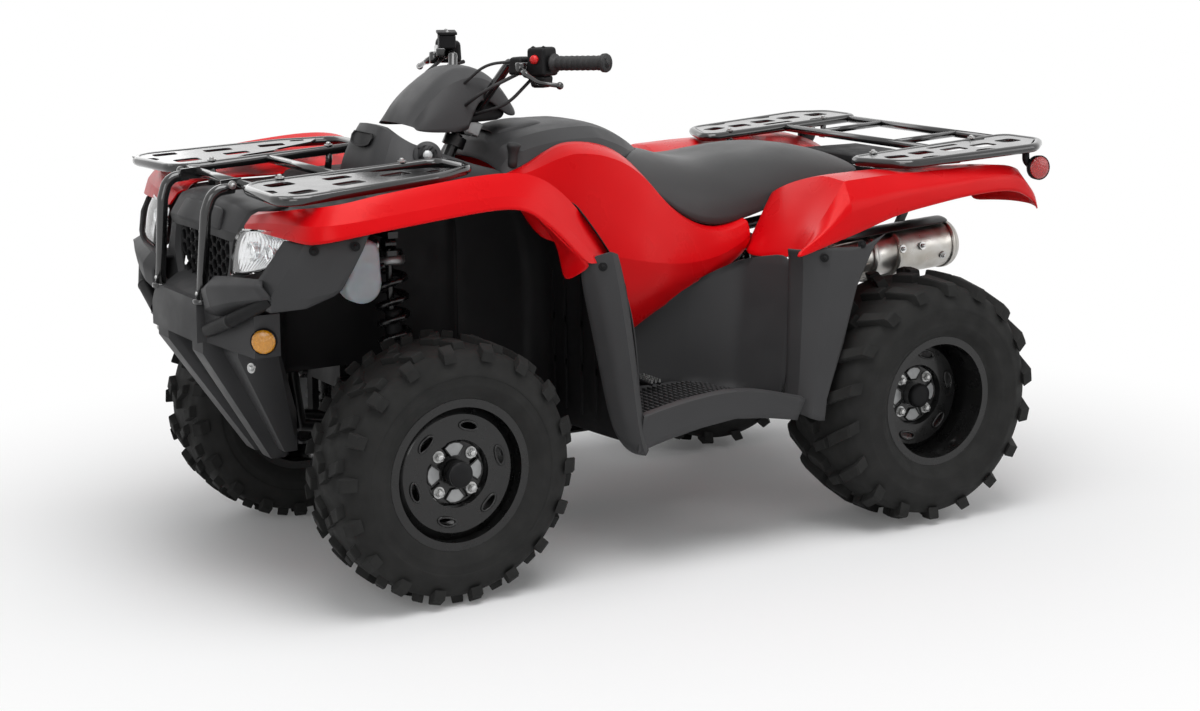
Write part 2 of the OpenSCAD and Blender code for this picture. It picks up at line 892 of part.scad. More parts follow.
module rear_cover() {
    half = fender_in - seat_gap;
    post_z = upper_rail_z + frame_d * 0.52 + seat_gap;
    color("#303032")
        union() {
            block([rear_x - 340, -half, 820], [rear_x - 110, half, 832]);
            block([rear_x - 130, -150, 800], [rear_x - 100, 150, 842]);
            // posts on the ends of the rails
            for (y = [-rail_y, rail_y]) {
                block([rail_end_x - 6, y - 8, post_z], [rail_end_x + 6, y + 8, 825]);
            }
        }
}

// ---- racks ----

// one side of a rack: a closed loop of tube with a pressed plate between
module rack_side(loop, z, plate) {
    path = [for (p = loop) [p[0], p[1], z]];
    tube_loop(path, rack_tube_d);
    plan_plate(plate, z + 1, z + rack_plate_top);
}

rack_plate_top = 7;
rack_slope = 3.2;
front_rack_front = front_x + 346;
front_rack_back = front_x - 118;
front_rack_rail = 187;
// tips a rack about its front edge, so that it rises to the back
module tipped(x, z) {
    translate([x, 0, z])
        rotate([0, rack_slope, 0])
            translate([-x, 0, -z])
                children();
}

// where a rack's leg ends before it is tipped, so that it stands on a surface at seat_z
function leg_end(z, back, seat_z) = z - (z + back * sin(rack_slope) - seat_z - 0.7) / cos(rack_slope);

module front_rack() {
    edge = front_rack_w / 2 - rack_tube_d / 2;
    z = front_rack_z;
    bar_x = front_rack_front - 26;
    lug_y = guard_y - guard_d / 2 - seat_gap;
    loop = [
        [front_rack_front, front_rack_rail], [front_rack_front + 18, edge], [front_rack_back + 120, edge - 50],
        [front_rack_back, edge - 110], [front_rack_back, front_rack_rail]
    ];
    color("#161616")
        tipped(front_rack_front, z)
            union() {
                both_sides() {
                    rack_side(loop, z, loop);
                    rod([front_rack_front - 86, front_rack_rail, z],
                        [front_rack_front - 86, front_rack_rail, leg_end(z, 86, nose_pad_z)], 14);
                    rod([front_rack_front - 374, front_rack_rail, z],
                        [front_rack_front - 374, front_rack_rail, leg_end(z, 374, deck_z)], 14);
                    // lugs beside the brush guard
                    block([bar_x, lug_y - 6, z - 12], [guard_end_x + 12, lug_y, z + 6]);
                }
                for (x = [bar_x, front_x + 124]) {
                    rod([x, -front_rack_rail, z], [x, front_rack_rail, z], rack_tube_d * 0.9);
                }
            }
}

rear_rack_front = rear_x + 100;
rear_rack_back = rear_x - 404;
rear_rack_rail = 300;
module rear_rack() {
    edge = rear_rack_w / 2 - rack_tube_d / 2;
    z = rear_rack_z;
    loop = [
        [rear_rack_front, rear_rack_rail], [rear_rack_front - 60, edge - 30], [rear_rack_back + 70, edge],
        [rear_rack_back, edge - 60], [rear_rack_back, rear_rack_rail]
    ];
    color("#161616")
        tipped(rear_rack_front, z)
            union() {
                both_sides() {
                    rack_side(loop, z, loop);
                    for (back = [80, 394]) {
                        rod([rear_rack_front - back, rear_rack_rail, z], [rear_rack_front - back, rear_rack_rail,
                            leg_end(z, back, lookup(rear_rack_front - back - rear_x, rear_crest))], 14);
                    }
                    // plates that hold the reflectors
                    block([tail_plate_x, tail_y - 20, tail_z - 27], [tail_plate_x + 5, tail_y + 20, z]);
                }
                for (x = [rear_rack_back + 26, rear_x - 165]) {
                    rod([x, -rear_rack_rail, z], [x, rear_rack_rail, z], rack_tube_d * 0.9);
                }
            }
}

// ---- engine bay ----

bottle_top_z = 775;
module coolant_bottle() {
    color("#c8d4da")
        hull() {
            translate([front_x + 112, 296, bottle_top_z - 30])
                rotate([90, 0, 0])
                    cylinder(h = 60, d = 60, $fn = 32);
            translate([front_x + 120, 296, 680])
                rotate([90, 0, 0])
                    cylinder(h = 60, d = 84, $fn = 32);
        }
}

module radiator() {
    color("#28282a")
        block([front_x + 268, -150, 560], [front_x + 300 - seat_gap, 150, 770]);
}

muffler_y = 215;
muffler_d = 118;
pipe_d = 30;
module exhaust() {
    start = [rear_x + 130, muffler_y, 592];
    end = [rear_x - 300, muffler_y, 622];
    along = (end - start) / norm(end - start);
    beside_head = 100 + 2 + pipe_d / 2;
    beside_case = (engine_half_w + well_in) / 2 - 2;
    path = [
        [engine_front_x - 20 + seat_gap, 60, 600], [engine_front_x + 26, 60, 600],
        [engine_front_x + 26, beside_head, 570], [liner_back_x - 15, beside_head, crankcase_z + 22],
        [liner_back_x - 75, beside_case, crankcase_z + 22], [rail_back_x - 20, beside_case, 530], start - [12, 0, 0]
    ];
    color("silver")
        union() {
            bent_tube(path, pipe_d);
            rod(start, end, muffler_d);
            rod(end - along * 6, end + along * 12, muffler_d - 20);
        }
}

module gear_lever() {
    x = tank_front_x + 18;
    y = 160;
    color("#1a1a1a")
        union() {
            block([tank_front_x + 4, y - 20, 858], [console_back_x - seat_gap, y + 20, 874]);
            rod([x, y, 866], [x, y, 905], 12);
            rod([x, y, 888], [x - 2, y + 2, 940], 25);
        }
}

// ---- steering ----

module on_column() {
    translate([column_x, 0, column_z])
        rotate([0, -column_tilt, 0])
            children();
}

module steering_column() {
    color("#2a2a2c")
        on_column()
            union() {
                cylinder(h = column_len, d = column_d);
                // drop arm with a lug over each tie rod's inner end
                linear_extrude(height = pitman_t, center = true)
                    polygon([
                        [16, -18], [16, 18], [-steer_arm, link_y + 14], [-steer_arm - 14, link_y],
                        [-steer_arm - 14, -link_y], [-steer_arm, -link_y - 14]
                    ]);
                translate([0, 0, column_len - 30])
                    cylinder(h = 24, d = column_d + 24);
            }
}

function on_axis(s) = [column_x - s * sin(column_tilt), 0, column_z + s * cos(column_tilt)];
bar_mid = on_axis(bar_along) + [0, 0, 12];
grip_in = [258, handlebar_w / 2 - 135, 1124];
grip_out = [201, handlebar_w / 2 - 4, 1131];
grip_along = (grip_out - grip_in) / norm(grip_out - grip_in);
bar_bend = grip_in - grip_along * 122;
module handlebar() {
    path = [
        flip([grip_out])[0], flip([bar_bend])[0], bar_mid + [0, -50, 0],
        bar_mid + [0, 50, 0], bar_bend, grip_out
    ];
    color("#161616")
        union() {
            bent_tube(path, bar_d);
            for (y = [-36, 36]) {
                rod(on_axis(column_len + 18) + [0, y, 0], bar_mid + [0, y, 0], 26);
            }
            rod(on_axis(column_len + 15 + seat_gap) - [0, 48, 0], on_axis(column_len + 15 + seat_gap) + [0, 48, 0], 30);
        }
}

module grips() {
    color("#1a1a1a")
        both_sides()
            difference() {
                union() {
                    rod(grip_in, grip_out + grip_along * 4, grip_d);
                    rod(grip_out - grip_along * 4, grip_out + grip_along * 4, grip_d + 8);
                    rod(grip_in, grip_in + grip_along * 5, grip_d + 7);
                }
                rod(grip_in - grip_along * 5, grip_out + grip_along * 0.3, bar_d + 2 * seat_gap);
            }
}

module bar_controls() {
    near = grip_in - grip_along * 4;
    pivot = near - grip_along * 84 + [50, 0, -12];
    color("#1c1c1e")
        both_sides()
            difference() {
                union() {
                    // switch box, lever clamp and lever
                    rod(near - grip_along * 54, near, 54);
                    rod(near - grip_along * 98, near - grip_along * 50, 36);
                    rod(near - grip_along * 84, pivot, 16);
                    rod(pivot - grip_along * 8, grip_out + [52, -34, -24], 11);
                }
                rod(near - grip_along * 112, near + grip_along * 20, bar_d + 2 * seat_gap);
            }
}

cover_back_x = 236;
module handlebar_cover() {
    color("#4a4a4c")
        difference() {
            hull()
                both_sides() {
                    block([sweep_x - 20, 0, 992], [sweep_x, 60, 998]);
                    block([sweep_x - 110, 0, 1085], [sweep_x - 90, 40, 1096]);
                    block([sweep_x - 170, 0, 1096], [sweep_x - 150, 55, 1110]);
                    block([sweep_x - 120, 60, 975], [sweep_x - 60, 112, 985]);
                    block([sweep_x - 200, 40, 985], [sweep_x - 180, 110, 1040]);
                    block([cover_back_x, 0, 988], [cover_back_x + 12, 40, 1016]);
                }
            // keeps its underside clear of the console
            translate([sweep_x, 0, sweep_z])
                rotate([0, -column_tilt, 0])
                    translate([-600, -300, -200])
                        cube([900, 600, 200]);
            // hollow behind, round the clamp and the column
            on_column()
                translate([-90, -82, column_len - 106])
                    cube([152, 164, 200]);
            // holes for the bar, which carries the cover
            both_sides()
                rod(bar_mid + [0, 50, 0], bar_bend, bar_d + 2 * seat_gap);
        }
}

// ---- knuckles, tie rods and wheels ----

spindle_d = 25;
hub_face_y = 58;
module knuckle() {
    top = ball_z - 32;
    caliper_y = 47;
    translate([front_x, kingpin_y, front_r])
        union() {
            cylinder(h = 2 * ball_z + arm_eye_h, d = kingpin_d, center = true);
            block([-24, -15, -top], [24, 15, top]);
            rod([0, 10, 0], [0, 34, 0], 44);
            rod([0, 30, 0], [0, 75 + hub_face_y - 7, 0], spindle_d);
            // steering arm and its stud
            plan_plate([[-20, -12], [-20, 14], [-steer_arm, link_y + 13], [-steer_arm - 13, link_y],
                        [-steer_arm, link_y - 13]], 29, 41);
            translate([-steer_arm, link_y, 35])
                cylinder(h = 26, d = 12);
            // brake caliper on its bracket
            difference() {
                block([48, caliper_y - 20, 20], [92, caliper_y + 20, 92]);
                block([0, caliper_y - 7, 0], [120, caliper_y + 7, 84]);
            }
            block([10, 0, 50], [60, 15, 80]);
            block([48, 0, 50], [60, caliper_y - 12, 80]);
        }
}

module left_knuckle() {
    color("#3a3a3c")
        knuckle();
}

module right_knuckle() {
    color("#3a3a3c")
        mirror([0, 1, 0])
            knuckle();
}

module tie_rod() {
    outer = [pin_x, kingpin_y + link_y, rod_z];
    inner = [pin_x, link_y, rod_z];
    difference() {
        union() {
            rod(outer, inner, 14);
            translate(outer)
                cylinder(h = rod_end_h, d = rod_end_d + 2, center = true);
            translate(inner)
                cylinder(h = rod_end_h, d = rod_end_d, center = true);
        }
        translate(outer)
            cylinder(h = 40, d = 12 + 2 * fit_gap, center = true);
    }
}

module left_tie_rod() {
    color("#2a2a2c")
        tie_rod();
}

module right_tie_rod() {
    color("#2a2a2c")
        mirror([0, 1, 0])
            tie_rod();
}

module front_tyre() {
    translate([front_x, front_y, front_r])
        tyre(front_tyre_d, front_tyre_w, front_rim_d, front_rim_w);
}

module front_wheel() {
    hub_t = 5;
    back = hub_face_y - hub_t - seat_gap;
    translate([front_x, front_y, front_r])
        union() {
            wheel(front_rim_d, front_rim_w, hub_face_y + 14, hub_face_y);
            difference() {
                union() {
                    rod([0, -24, 0], [0, back, 0], 62);
                    rod([0, back - 9, 0], [0, back, 0], 134);
                    rod([0, back - 1, 0], [0, front_rim_w / 2, 0], 56);
                    // brake disc
                    rod([0, -30, 0], [0, -20, 0], 90);
                    rod([0, -30, 0], [0, -26, 0], 180);
                }
                rod([0, -40, 0], [0, hub_face_y - 4, 0], spindle_d + 2 * fit_gap);
            }
        }
}

module front_left_tyre() {
    color("#262626")
        front_tyre();
}

module front_left_wheel() {
    color("#1a1a1a")
        front_wheel();
}

module front_right_tyre() {
    color("#262626")
        mirror([0, 1, 0])
            front_tyre();
}

module front_right_wheel() {
    color("#1a1a1a")
        mirror([0, 1, 0])
            front_wheel();
}

module rear_tyres() {
    color("#262626")
        both_sides()
            translate([rear_x, rear_y, rear_r])
                tyre(rear_tyre_d, rear_tyre_w, rear_rim_d, rear_rim_w);
}

rear_hub_y = 12;
module rear_wheels() {
    color("#1a1a1a")
        both_sides()
            translate([rear_x, rear_y, rear_r])
                wheel(rear_rim_d, rear_rim_w, rear_hub_y + 14, rear_hub_y);
}

module rear_axle() {
    back = rear_y + rear_hub_y - 5 - seat_gap;
    color("#8a8c90")
        translate([rear_x, 0, rear_r])
            union() {
                rod([0, -back, 0], [0, back, 0], axle_d);
                both_sides() {
                    rod([0, back - 60, 0], [0, back, 0], 62);
                    rod([0, back - 9, 0], [0, back, 0], 134);
                    rod([0, back - 1, 0], [0, back + 30, 0], 56);
                }
            }
}

frame();
engine();
swingarm();
suspension_arms();
shock_dampers();
shock_springs();
skid_plate();
hitch();
front_bumper();
bumper_bar();
brush_guard();
front_panel();
grille();
headlights();
amber_reflectors();
tail_reflectors();
front_fenders();
side_guards();
arch_liners();
front_mudguards();
footwells();
rear_mudguards();
front_deck();
console();
tank_cover();
side_covers();
seat();
rear_fenders();
rear_cover();
front_rack();
rear_rack();
coolant_bottle();
radiator();
exhaust();
gear_lever();
steering_column();
handlebar();
grips();
bar_controls();
handlebar_cover();
left_knuckle();
right_knuckle();
left_tie_rod();
right_tie_rod();
front_left_tyre();
front_left_wheel();
front_right_tyre();
front_right_wheel();
rear_tyres();
rear_wheels();
rear_axle();
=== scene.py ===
import math

import bmesh
import bpy
import numpy as np
from mathutils import Matrix, Vector


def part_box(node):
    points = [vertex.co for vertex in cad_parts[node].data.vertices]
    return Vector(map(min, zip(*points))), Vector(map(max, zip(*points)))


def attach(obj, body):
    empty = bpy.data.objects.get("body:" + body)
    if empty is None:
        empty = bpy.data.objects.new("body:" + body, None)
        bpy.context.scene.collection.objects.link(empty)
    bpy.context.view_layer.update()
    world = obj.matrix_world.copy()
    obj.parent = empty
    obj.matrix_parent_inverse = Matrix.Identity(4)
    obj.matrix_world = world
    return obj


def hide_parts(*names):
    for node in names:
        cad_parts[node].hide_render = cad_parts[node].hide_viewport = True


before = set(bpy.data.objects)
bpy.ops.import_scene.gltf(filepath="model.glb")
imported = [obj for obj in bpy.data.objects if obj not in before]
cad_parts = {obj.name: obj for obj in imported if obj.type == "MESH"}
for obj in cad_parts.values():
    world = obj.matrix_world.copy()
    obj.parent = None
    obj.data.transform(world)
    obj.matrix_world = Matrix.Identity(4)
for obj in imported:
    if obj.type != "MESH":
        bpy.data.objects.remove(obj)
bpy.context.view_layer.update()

# ---- The studio ----
# A pale floor that meets a white background, one large soft lamp above and
# three round the sides, and a camera at standing height off the left front.


def in_scene(name, data):
    """A new object of the scene."""
    thing = bpy.data.objects.new(name, data)
    bpy.context.scene.collection.objects.link(thing)
    return thing


def looking(way):
    """The rotation of a camera or lamp that looks along a way."""
    return Vector(way).to_track_quat("-Z", "Y").to_euler()


camera_data = bpy.data.cameras.new("camera")
camera_data.lens = 64.48
camera_data.sensor_width = 36.0
camera = in_scene("camera", camera_data)
camera.location = (2.7149, 4.3581, 1.4797)
camera.rotation_euler = looking((-0.5197, -0.8287, -0.2077))
bpy.context.scene.camera = camera
bpy.context.scene.view_settings.view_transform = "Standard"


def linear(hex_code):
    """An sRGB hex colour as the linear colour that a shader takes."""
    parts = [int(hex_code[i : i + 2], 16) / 255 for i in (1, 3, 5)]
    return tuple(c / 12.92 if c <= 0.04045 else ((c + 0.055) / 1.055) ** 2.4 for c in parts) + (1.0,)


def add(tree, kind, links=None, **settings):
    """Adds a node: settings are its own, links gives its inputs a value or another node's output."""
    node = tree.nodes.new(kind)
    for key, value in settings.items():
        setattr(node, key, value)
    for key, value in (links or {}).items():
        if isinstance(value, bpy.types.NodeSocket):
            tree.links.new(value, node.inputs[key])
        else:
            node.inputs[key].default_value = value
    return node


def seen_directly(tree):
    """1 for what the camera, mirrors and glass see, 0 for light on the quad bike."""
    rays = add(tree, "ShaderNodeLightPath")
    seen = add(tree, "ShaderNodeMath", {0: rays.outputs["Is Camera Ray"], 1: rays.outputs["Is Glossy Ray"]},
               operation="MAXIMUM")
    return add(tree, "ShaderNodeMath", {0: seen.outputs[0], 1: rays.outputs["Is Transmission Ray"]},
               operation="MAXIMUM").outputs[0]


world = bpy.data.worlds.new("studio_air")
bpy.context.scene.world = world
world.use_nodes = True
air = world.node_tree
seen = seen_directly(air)
shade = add(air, "ShaderNodeMix", {"Factor": seen, "A": linear("#F4F5F6"), "B": (1, 1, 1, 1)}, data_type="RGBA")
power = add(air, "ShaderNodeMix", {"Factor": seen, "A": 0.26, "B": 1.0})
air.links.new(shade.outputs["Result"], air.nodes["Background"].inputs["Color"])
air.links.new(power.outputs["Result"], air.nodes["Background"].inputs["Strength"])


def new_material(name, hex_code, roughness, metallic=0.0, gloss=0.5):
    """A material with its one shader, and its shader's plain settings; gloss is its specular level."""
    material = bpy.data.materials.new(name)
    material.use_nodes = True
    shader = material.node_tree.nodes["Principled BSDF"]
    shader.inputs["Base Color"].default_value = linear(hex_code)
    shader.inputs["Roughness"].default_value = roughness
    shader.inputs["Metallic"].default_value = metallic
    shader.inputs["Specular IOR Level"].default_value = gloss
    return material, material.node_tree, shader


def mesh_object(name, points, faces, material, smooth=True):
    """A mesh piece in place, with its faces turned outwards."""
    mesh = bpy.data.meshes.new(name)
    mesh.from_pydata([tuple(map(float, p)) for p in points], [], faces)
    piece = in_scene(name, mesh)
    work = bmesh.new()
    work.from_mesh(mesh)
    bmesh.ops.remove_doubles(work, verts=work.verts, dist=1e-5)
    bmesh.ops.recalc_face_normals(work, faces=work.faces)
    work.to_mesh(mesh)
    work.free()
    mesh.shade_smooth() if smooth else mesh.shade_flat()
    mesh.materials.append(material)
    return piece


# Matt floor paint: pale, with faint cloudiness; away from the quad bike the camera sees it as plain white
floor_paint, tree, shader = new_material("matt_floor_paint", "#FAFAFA", 0.9)
grain = add(tree, "ShaderNodeTexNoise", {"Scale": 6.0, "Detail": 4.0})
pale = add(tree, "ShaderNodeMix", {"Factor": grain.outputs["Fac"], "A": linear("#F7F7F8"), "B": linear("#FCFCFC")},
           data_type="RGBA")
tree.links.new(pale.outputs["Result"], shader.inputs["Base Color"])
place = add(tree, "ShaderNodeTexCoord")
far = add(tree, "ShaderNodeMapping", {"Vector": place.outputs["Object"], "Scale": (0.85, 1.0, 1.0)})
far = add(tree, "ShaderNodeVectorMath", {0: far.outputs[0]}, operation="LENGTH")
fade = add(tree, "ShaderNodeMapRange", {"Value": far.outputs["Value"], "From Min": 0.55, "From Max": 2.0,
                                        "To Min": 0.06, "To Max": 1.0}, interpolation_type="SMOOTHSTEP")
seen = add(tree, "ShaderNodeMath", {0: seen_directly(tree), 1: fade.outputs["Result"]}, operation="MULTIPLY")
white = add(tree, "ShaderNodeEmission", {"Color": (1, 1, 1, 1), "Strength": 1.0})
blend = add(tree, "ShaderNodeMixShader", {0: seen.outputs[0], 1: shader.outputs[0], 2: white.outputs[0]})
tree.links.new(blend.outputs[0], tree.nodes["Material Output"].inputs["Surface"])
floor = mesh_object("floor", [(-14, -14, 0), (14, -14, 0), (14, 14, 0), (-14, 14, 0)], [(0, 1, 2, 3)], floor_paint)

for lamp_name, place, target, size, power in [
    ("lamp_above", (0.6, 1.2, 4.2), (0, 0, 0.5), 2.8, 125),
    ("lamp_left_front", (3.6, 3.2, 2.4), (0.2, 0, 0.6), 2.0, 32),
    ("lamp_rear_left", (-3.4, 3.0, 2.2), (-0.3, 0, 0.6), 2.2, 24),
    ("lamp_right", (0.5, -3.8, 2.6), (0, 0, 0.6), 2.4, 20),
]:
    lamp_data = bpy.data.lights.new(lamp_name, "AREA")
    lamp_data.shape = "SQUARE"
    lamp_data.size = size
    lamp_data.energy = power
    lamp = in_scene(lamp_name, lamp_data)
    lamp.location = place
    lamp.rotation_euler = looking(Vector(target) - Vector(place))

# ---- The frame and the suspension ----
# Welded steel tube, powder coated black: the main frame, the swingarm with
# its axle housing, the suspension arms, the hitch and the steering column.


def surface_point(tree, scale_mm):
    """The place on a piece, scaled so that one unit of pattern is scale_mm wide."""
    place = add(tree, "ShaderNodeTexCoord")
    return add(tree, "ShaderNodeMapping", {"Vector": place.outputs["Object"],
                                           "Scale": (1000 / scale_mm,) * 3}).outputs[0]


def tint(tree, shader, low, high, scale_mm):
    """Cloudy variation of the base colour between two hex colours."""
    clouds = add(tree, "ShaderNodeTexNoise", {"Vector": surface_point(tree, scale_mm), "Scale": 1.0, "Detail": 3.0})
    mix = add(tree, "ShaderNodeMix", {"Factor": clouds.outputs["Fac"], "A": linear(low), "B": linear(high)},
              data_type="RGBA")
    tree.links.new(mix.outputs["Result"], shader.inputs["Base Color"])


def rough_range(tree, shader, low, high, scale_mm):
    """Roughness that wanders between two values over the surface."""
    clouds = add(tree, "ShaderNodeTexNoise", {"Vector": surface_point(tree, scale_mm), "Scale": 1.0, "Detail": 4.0})
    spread = add(tree, "ShaderNodeMapRange", {"Value": clouds.outputs["Fac"], "From Min": 0.3, "From Max": 0.7,
                                             "To Min": low, "To Max": high})
    tree.links.new(spread.outputs["Result"], shader.inputs["Roughness"])


def grain_bump(tree, shader, scale_mm, depth_mm, texture="ShaderNodeTexNoise"):
    """A fine raised grain of a real size and depth."""
    settings = {"Vector": surface_point(tree, scale_mm), "Scale": 1.0}
    if texture == "ShaderNodeTexVoronoi":
        source = add(tree, texture, settings).outputs["Distance"]
    else:
        source = add(tree, texture, settings | {"Detail": 5.0}).outputs["Fac"]
    bump = add(tree, "ShaderNodeBump", {"Height": source, "Distance": depth_mm / 1000, "Strength": 1.0})
    tree.links.new(bump.outputs["Normal"], shader.inputs["Normal"])


def surfaced(name, hex_code, roughness, tints, rough, grain, metallic=0.0, gloss=0.5, extra=()):
    """A material with tint, rough_range and grain_bump; extra has more of its shader's inputs."""
    material, tree, shader = new_material(name, hex_code, roughness, metallic, gloss)
    for key, value in dict(extra).items():
        shader.inputs[key].default_value = value
    tint(tree, shader, *tints)
    rough_range(tree, shader, *rough)
    grain_bump(tree, shader, *grain)
    return material


# Powder coat: baked polyester paint, satin, with a slight orange peel of about 2 mm
powder_coat = surfaced("satin_black_powder_coat", "#0C0C0D", 0.32, ("#0A0A0B", "#121213", 60), (0.26, 0.4, 45),
                       (2.0, 0.05))


def finish_node(material, *nodes):
    """Gives CAD nodes a finish in their own slots."""
    for node in nodes:
        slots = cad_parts[node].data.materials
        for i in range(max(1, len(slots))):
            if i < len(slots):
                slots[i] = material
            else:
                slots.append(material)


finish_node(powder_coat, "frame", "swingarm", "suspension_arms", "hitch", "steering_column")

# ---- The wheels and tyres ----
# Low pressure tubeless tyres with cross-country lugs, on pressed steel rims
# painted gloss black, each held by four nuts. The carcass is turned; its lugs
# stand on it in a ring, one pitch of the pattern repeated round the wheel.


def turned(profile, centre, turns=96):
    """A closed outline of (offset along Y, radius) turned about the Y axis through centre."""
    points, faces = [], []
    n = len(profile)
    for i in range(turns):
        angle = 2 * math.pi * i / turns
        for offset, radius in profile:
            points.append((centre[0] + radius * math.cos(angle), centre[1] + offset,
                           centre[2] + radius * math.sin(angle)))
    for i in range(turns):
        for j in range(n):
            a, b = i * n, (i + 1) % turns * n
            faces.append((a + j, a + (j + 1) % n, b + (j + 1) % n, b + j))
    return points, faces


def new_tree(name, inputs):
    """A Geometry Nodes tree with its named inputs, each a socket type."""
    tree = bpy.data.node_groups.new(name, "GeometryNodeTree")
    tree.interface.new_socket("Geometry", in_out="INPUT", socket_type="NodeSocketGeometry")
    tree.interface.new_socket("Geometry", in_out="OUTPUT", socket_type="NodeSocketGeometry")
    for key, kind in inputs.items():
        tree.interface.new_socket(key, in_out="INPUT", socket_type="NodeSocket" + kind)
    tree.interface.new_socket("Material", in_out="INPUT", socket_type="NodeSocketMaterial")
    return tree, add(tree, "NodeGroupInput").outputs


def end_tree(tree, given, instances):
    """Ends a tree with real mesh that has its material."""
    real = add(tree, "GeometryNodeRealizeInstances", {"Geometry": instances})
    painted = add(tree, "GeometryNodeSetMaterial", {"Geometry": real.outputs[0], "Material": given["Material"]})
    add(tree, "NodeGroupOutput", {"Geometry": painted.outputs[0]})


def grown(name, tree, start, material, body, facing=None, **values):
    """Runs a tree on a starting mesh, and keeps the plain mesh that it makes as a piece on a body."""
    points, faces = start
    mesh = bpy.data.meshes.new(name)
    mesh.from_pydata([tuple(map(float, p)) for p in points], [], faces)
    if facing is not None:
        attribute = mesh.attributes.new("facing", "FLOAT_VECTOR", "POINT")
        attribute.data.foreach_set("vector", [float(c) for v in facing for c in v])
    piece = in_scene(name, mesh)
    modifier = piece.modifiers.new("grow", "NODES")
    modifier.node_group = tree
    values["Material"] = material
    for item in tree.interface.items_tree:
        if item.item_type == "SOCKET" and item.in_out == "INPUT" and item.name in values:
            modifier[item.identifier] = values[item.name]
    evaluated = piece.evaluated_get(bpy.context.evaluated_depsgraph_get())
    plain = bpy.data.meshes.new_from_object(evaluated)
    piece.modifiers.remove(modifier)
    plain.materials.clear()
    plain.materials.append(material)
    plain.polygons.foreach_set("material_index", [0] * len(plain.polygons))
    piece.data = plain
    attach(piece, body)
    return piece


# one pitch of a pattern, repeated about the Y axis through the wheel's middle
ring_tree, given = new_tree("ring_of_lugs", {"Count": "Int", "Centre": "Vector"})
spots = add(ring_tree, "GeometryNodeMeshLine", {"Count": given["Count"], "Offset": (0, 0, 0)})
index = add(ring_tree, "GeometryNodeInputIndex")
pitch = add(ring_tree, "ShaderNodeMath", {0: 2 * math.pi, 1: given["Count"]}, operation="DIVIDE")
turn = add(ring_tree, "ShaderNodeMath", {0: index.outputs[0], 1: pitch.outputs[0]}, operation="MULTIPLY")
turn = add(ring_tree, "ShaderNodeCombineXYZ", {"Y": turn.outputs[0]})
lugs = add(ring_tree, "GeometryNodeInstanceOnPoints", {"Points": spots.outputs[0], "Instance": given["Geometry"],
                                                       "Rotation": turn.outputs[0]})
placed = add(ring_tree, "GeometryNodeTransform", {"Geometry": lugs.outputs[0], "Translation": given["Centre"]})
end_tree(ring_tree, given, placed.outputs[0])


def walls(n, low=0):
    """The faces between two rings of n points, the first of which starts at low."""
    return [(low + i, low + (i + 1) % n, low + n + (i + 1) % n, low + n + i) for i in range(n)]


def lug(outline, foot, top):
    """A rubber block on an outline of (offset along Y mm, distance round the tyre mm), between two radii laws."""
    middle = np.mean(outline, axis=0)
    points = []
    for law, shrink in ((foot, 1.0), (top, 0.96), (top, 0.82)):
        for offset, along in middle + (np.array(outline) - middle) * shrink:
            radius = law(abs(offset)) - (0.0016 if shrink == 0.96 else 0)
            angle = along / 1000 / radius
            points.append((radius * math.cos(angle), offset / 1000, radius * math.sin(angle)))
    n = len(outline)
    faces = [tuple(range(2 * n, 3 * n)), tuple(reversed(range(n)))]
    return points, faces + walls(n) + walls(n, n)


def joined(parts):
    """Several (points, faces) as one."""
    points, faces = [], []
    for more_points, more_faces in parts:
        faces += [tuple(i + len(points) for i in face) for face in more_faces]
        points += list(more_points)
    return points, faces


def mirrored(part):
    """(points, faces) of the same thing on the other side."""
    return [(x, -y, z) for x, y, z in part[0]], [tuple(reversed(face)) for face in part[1]]


def outward(part):
    """Turns each closed block's faces to point outwards."""
    mesh = bmesh.new()
    verts = [mesh.verts.new(p) for p in part[0]]
    for face in part[1]:
        mesh.faces.new([verts[i] for i in face])
    bmesh.ops.recalc_face_normals(mesh, faces=mesh.faces)
    mesh.verts.index_update()
    out = [tuple(v.co) for v in mesh.verts], [tuple(v.index for v in face.verts) for face in mesh.faces]
    mesh.free()
    return out


# Natural rubber with carbon black, moulded: matt, dusty on the crown, with fine pores
rubber = surfaced("moulded_tyre_rubber", "#262626", 0.7, ("#1F1F1F", "#30302F", 70), (0.66, 0.86, 30), (3.0, 0.25),
                  gloss=0.16)

tyre_sizes = {
    # outside radius, half width, flange radius, half rim width, lug depth, pitches
    "front": (0.290, 0.1025, 0.165, 0.088, 0.014, 18),
    "rear": (0.304, 0.1275, 0.157, 0.107, 0.019, 18),
}


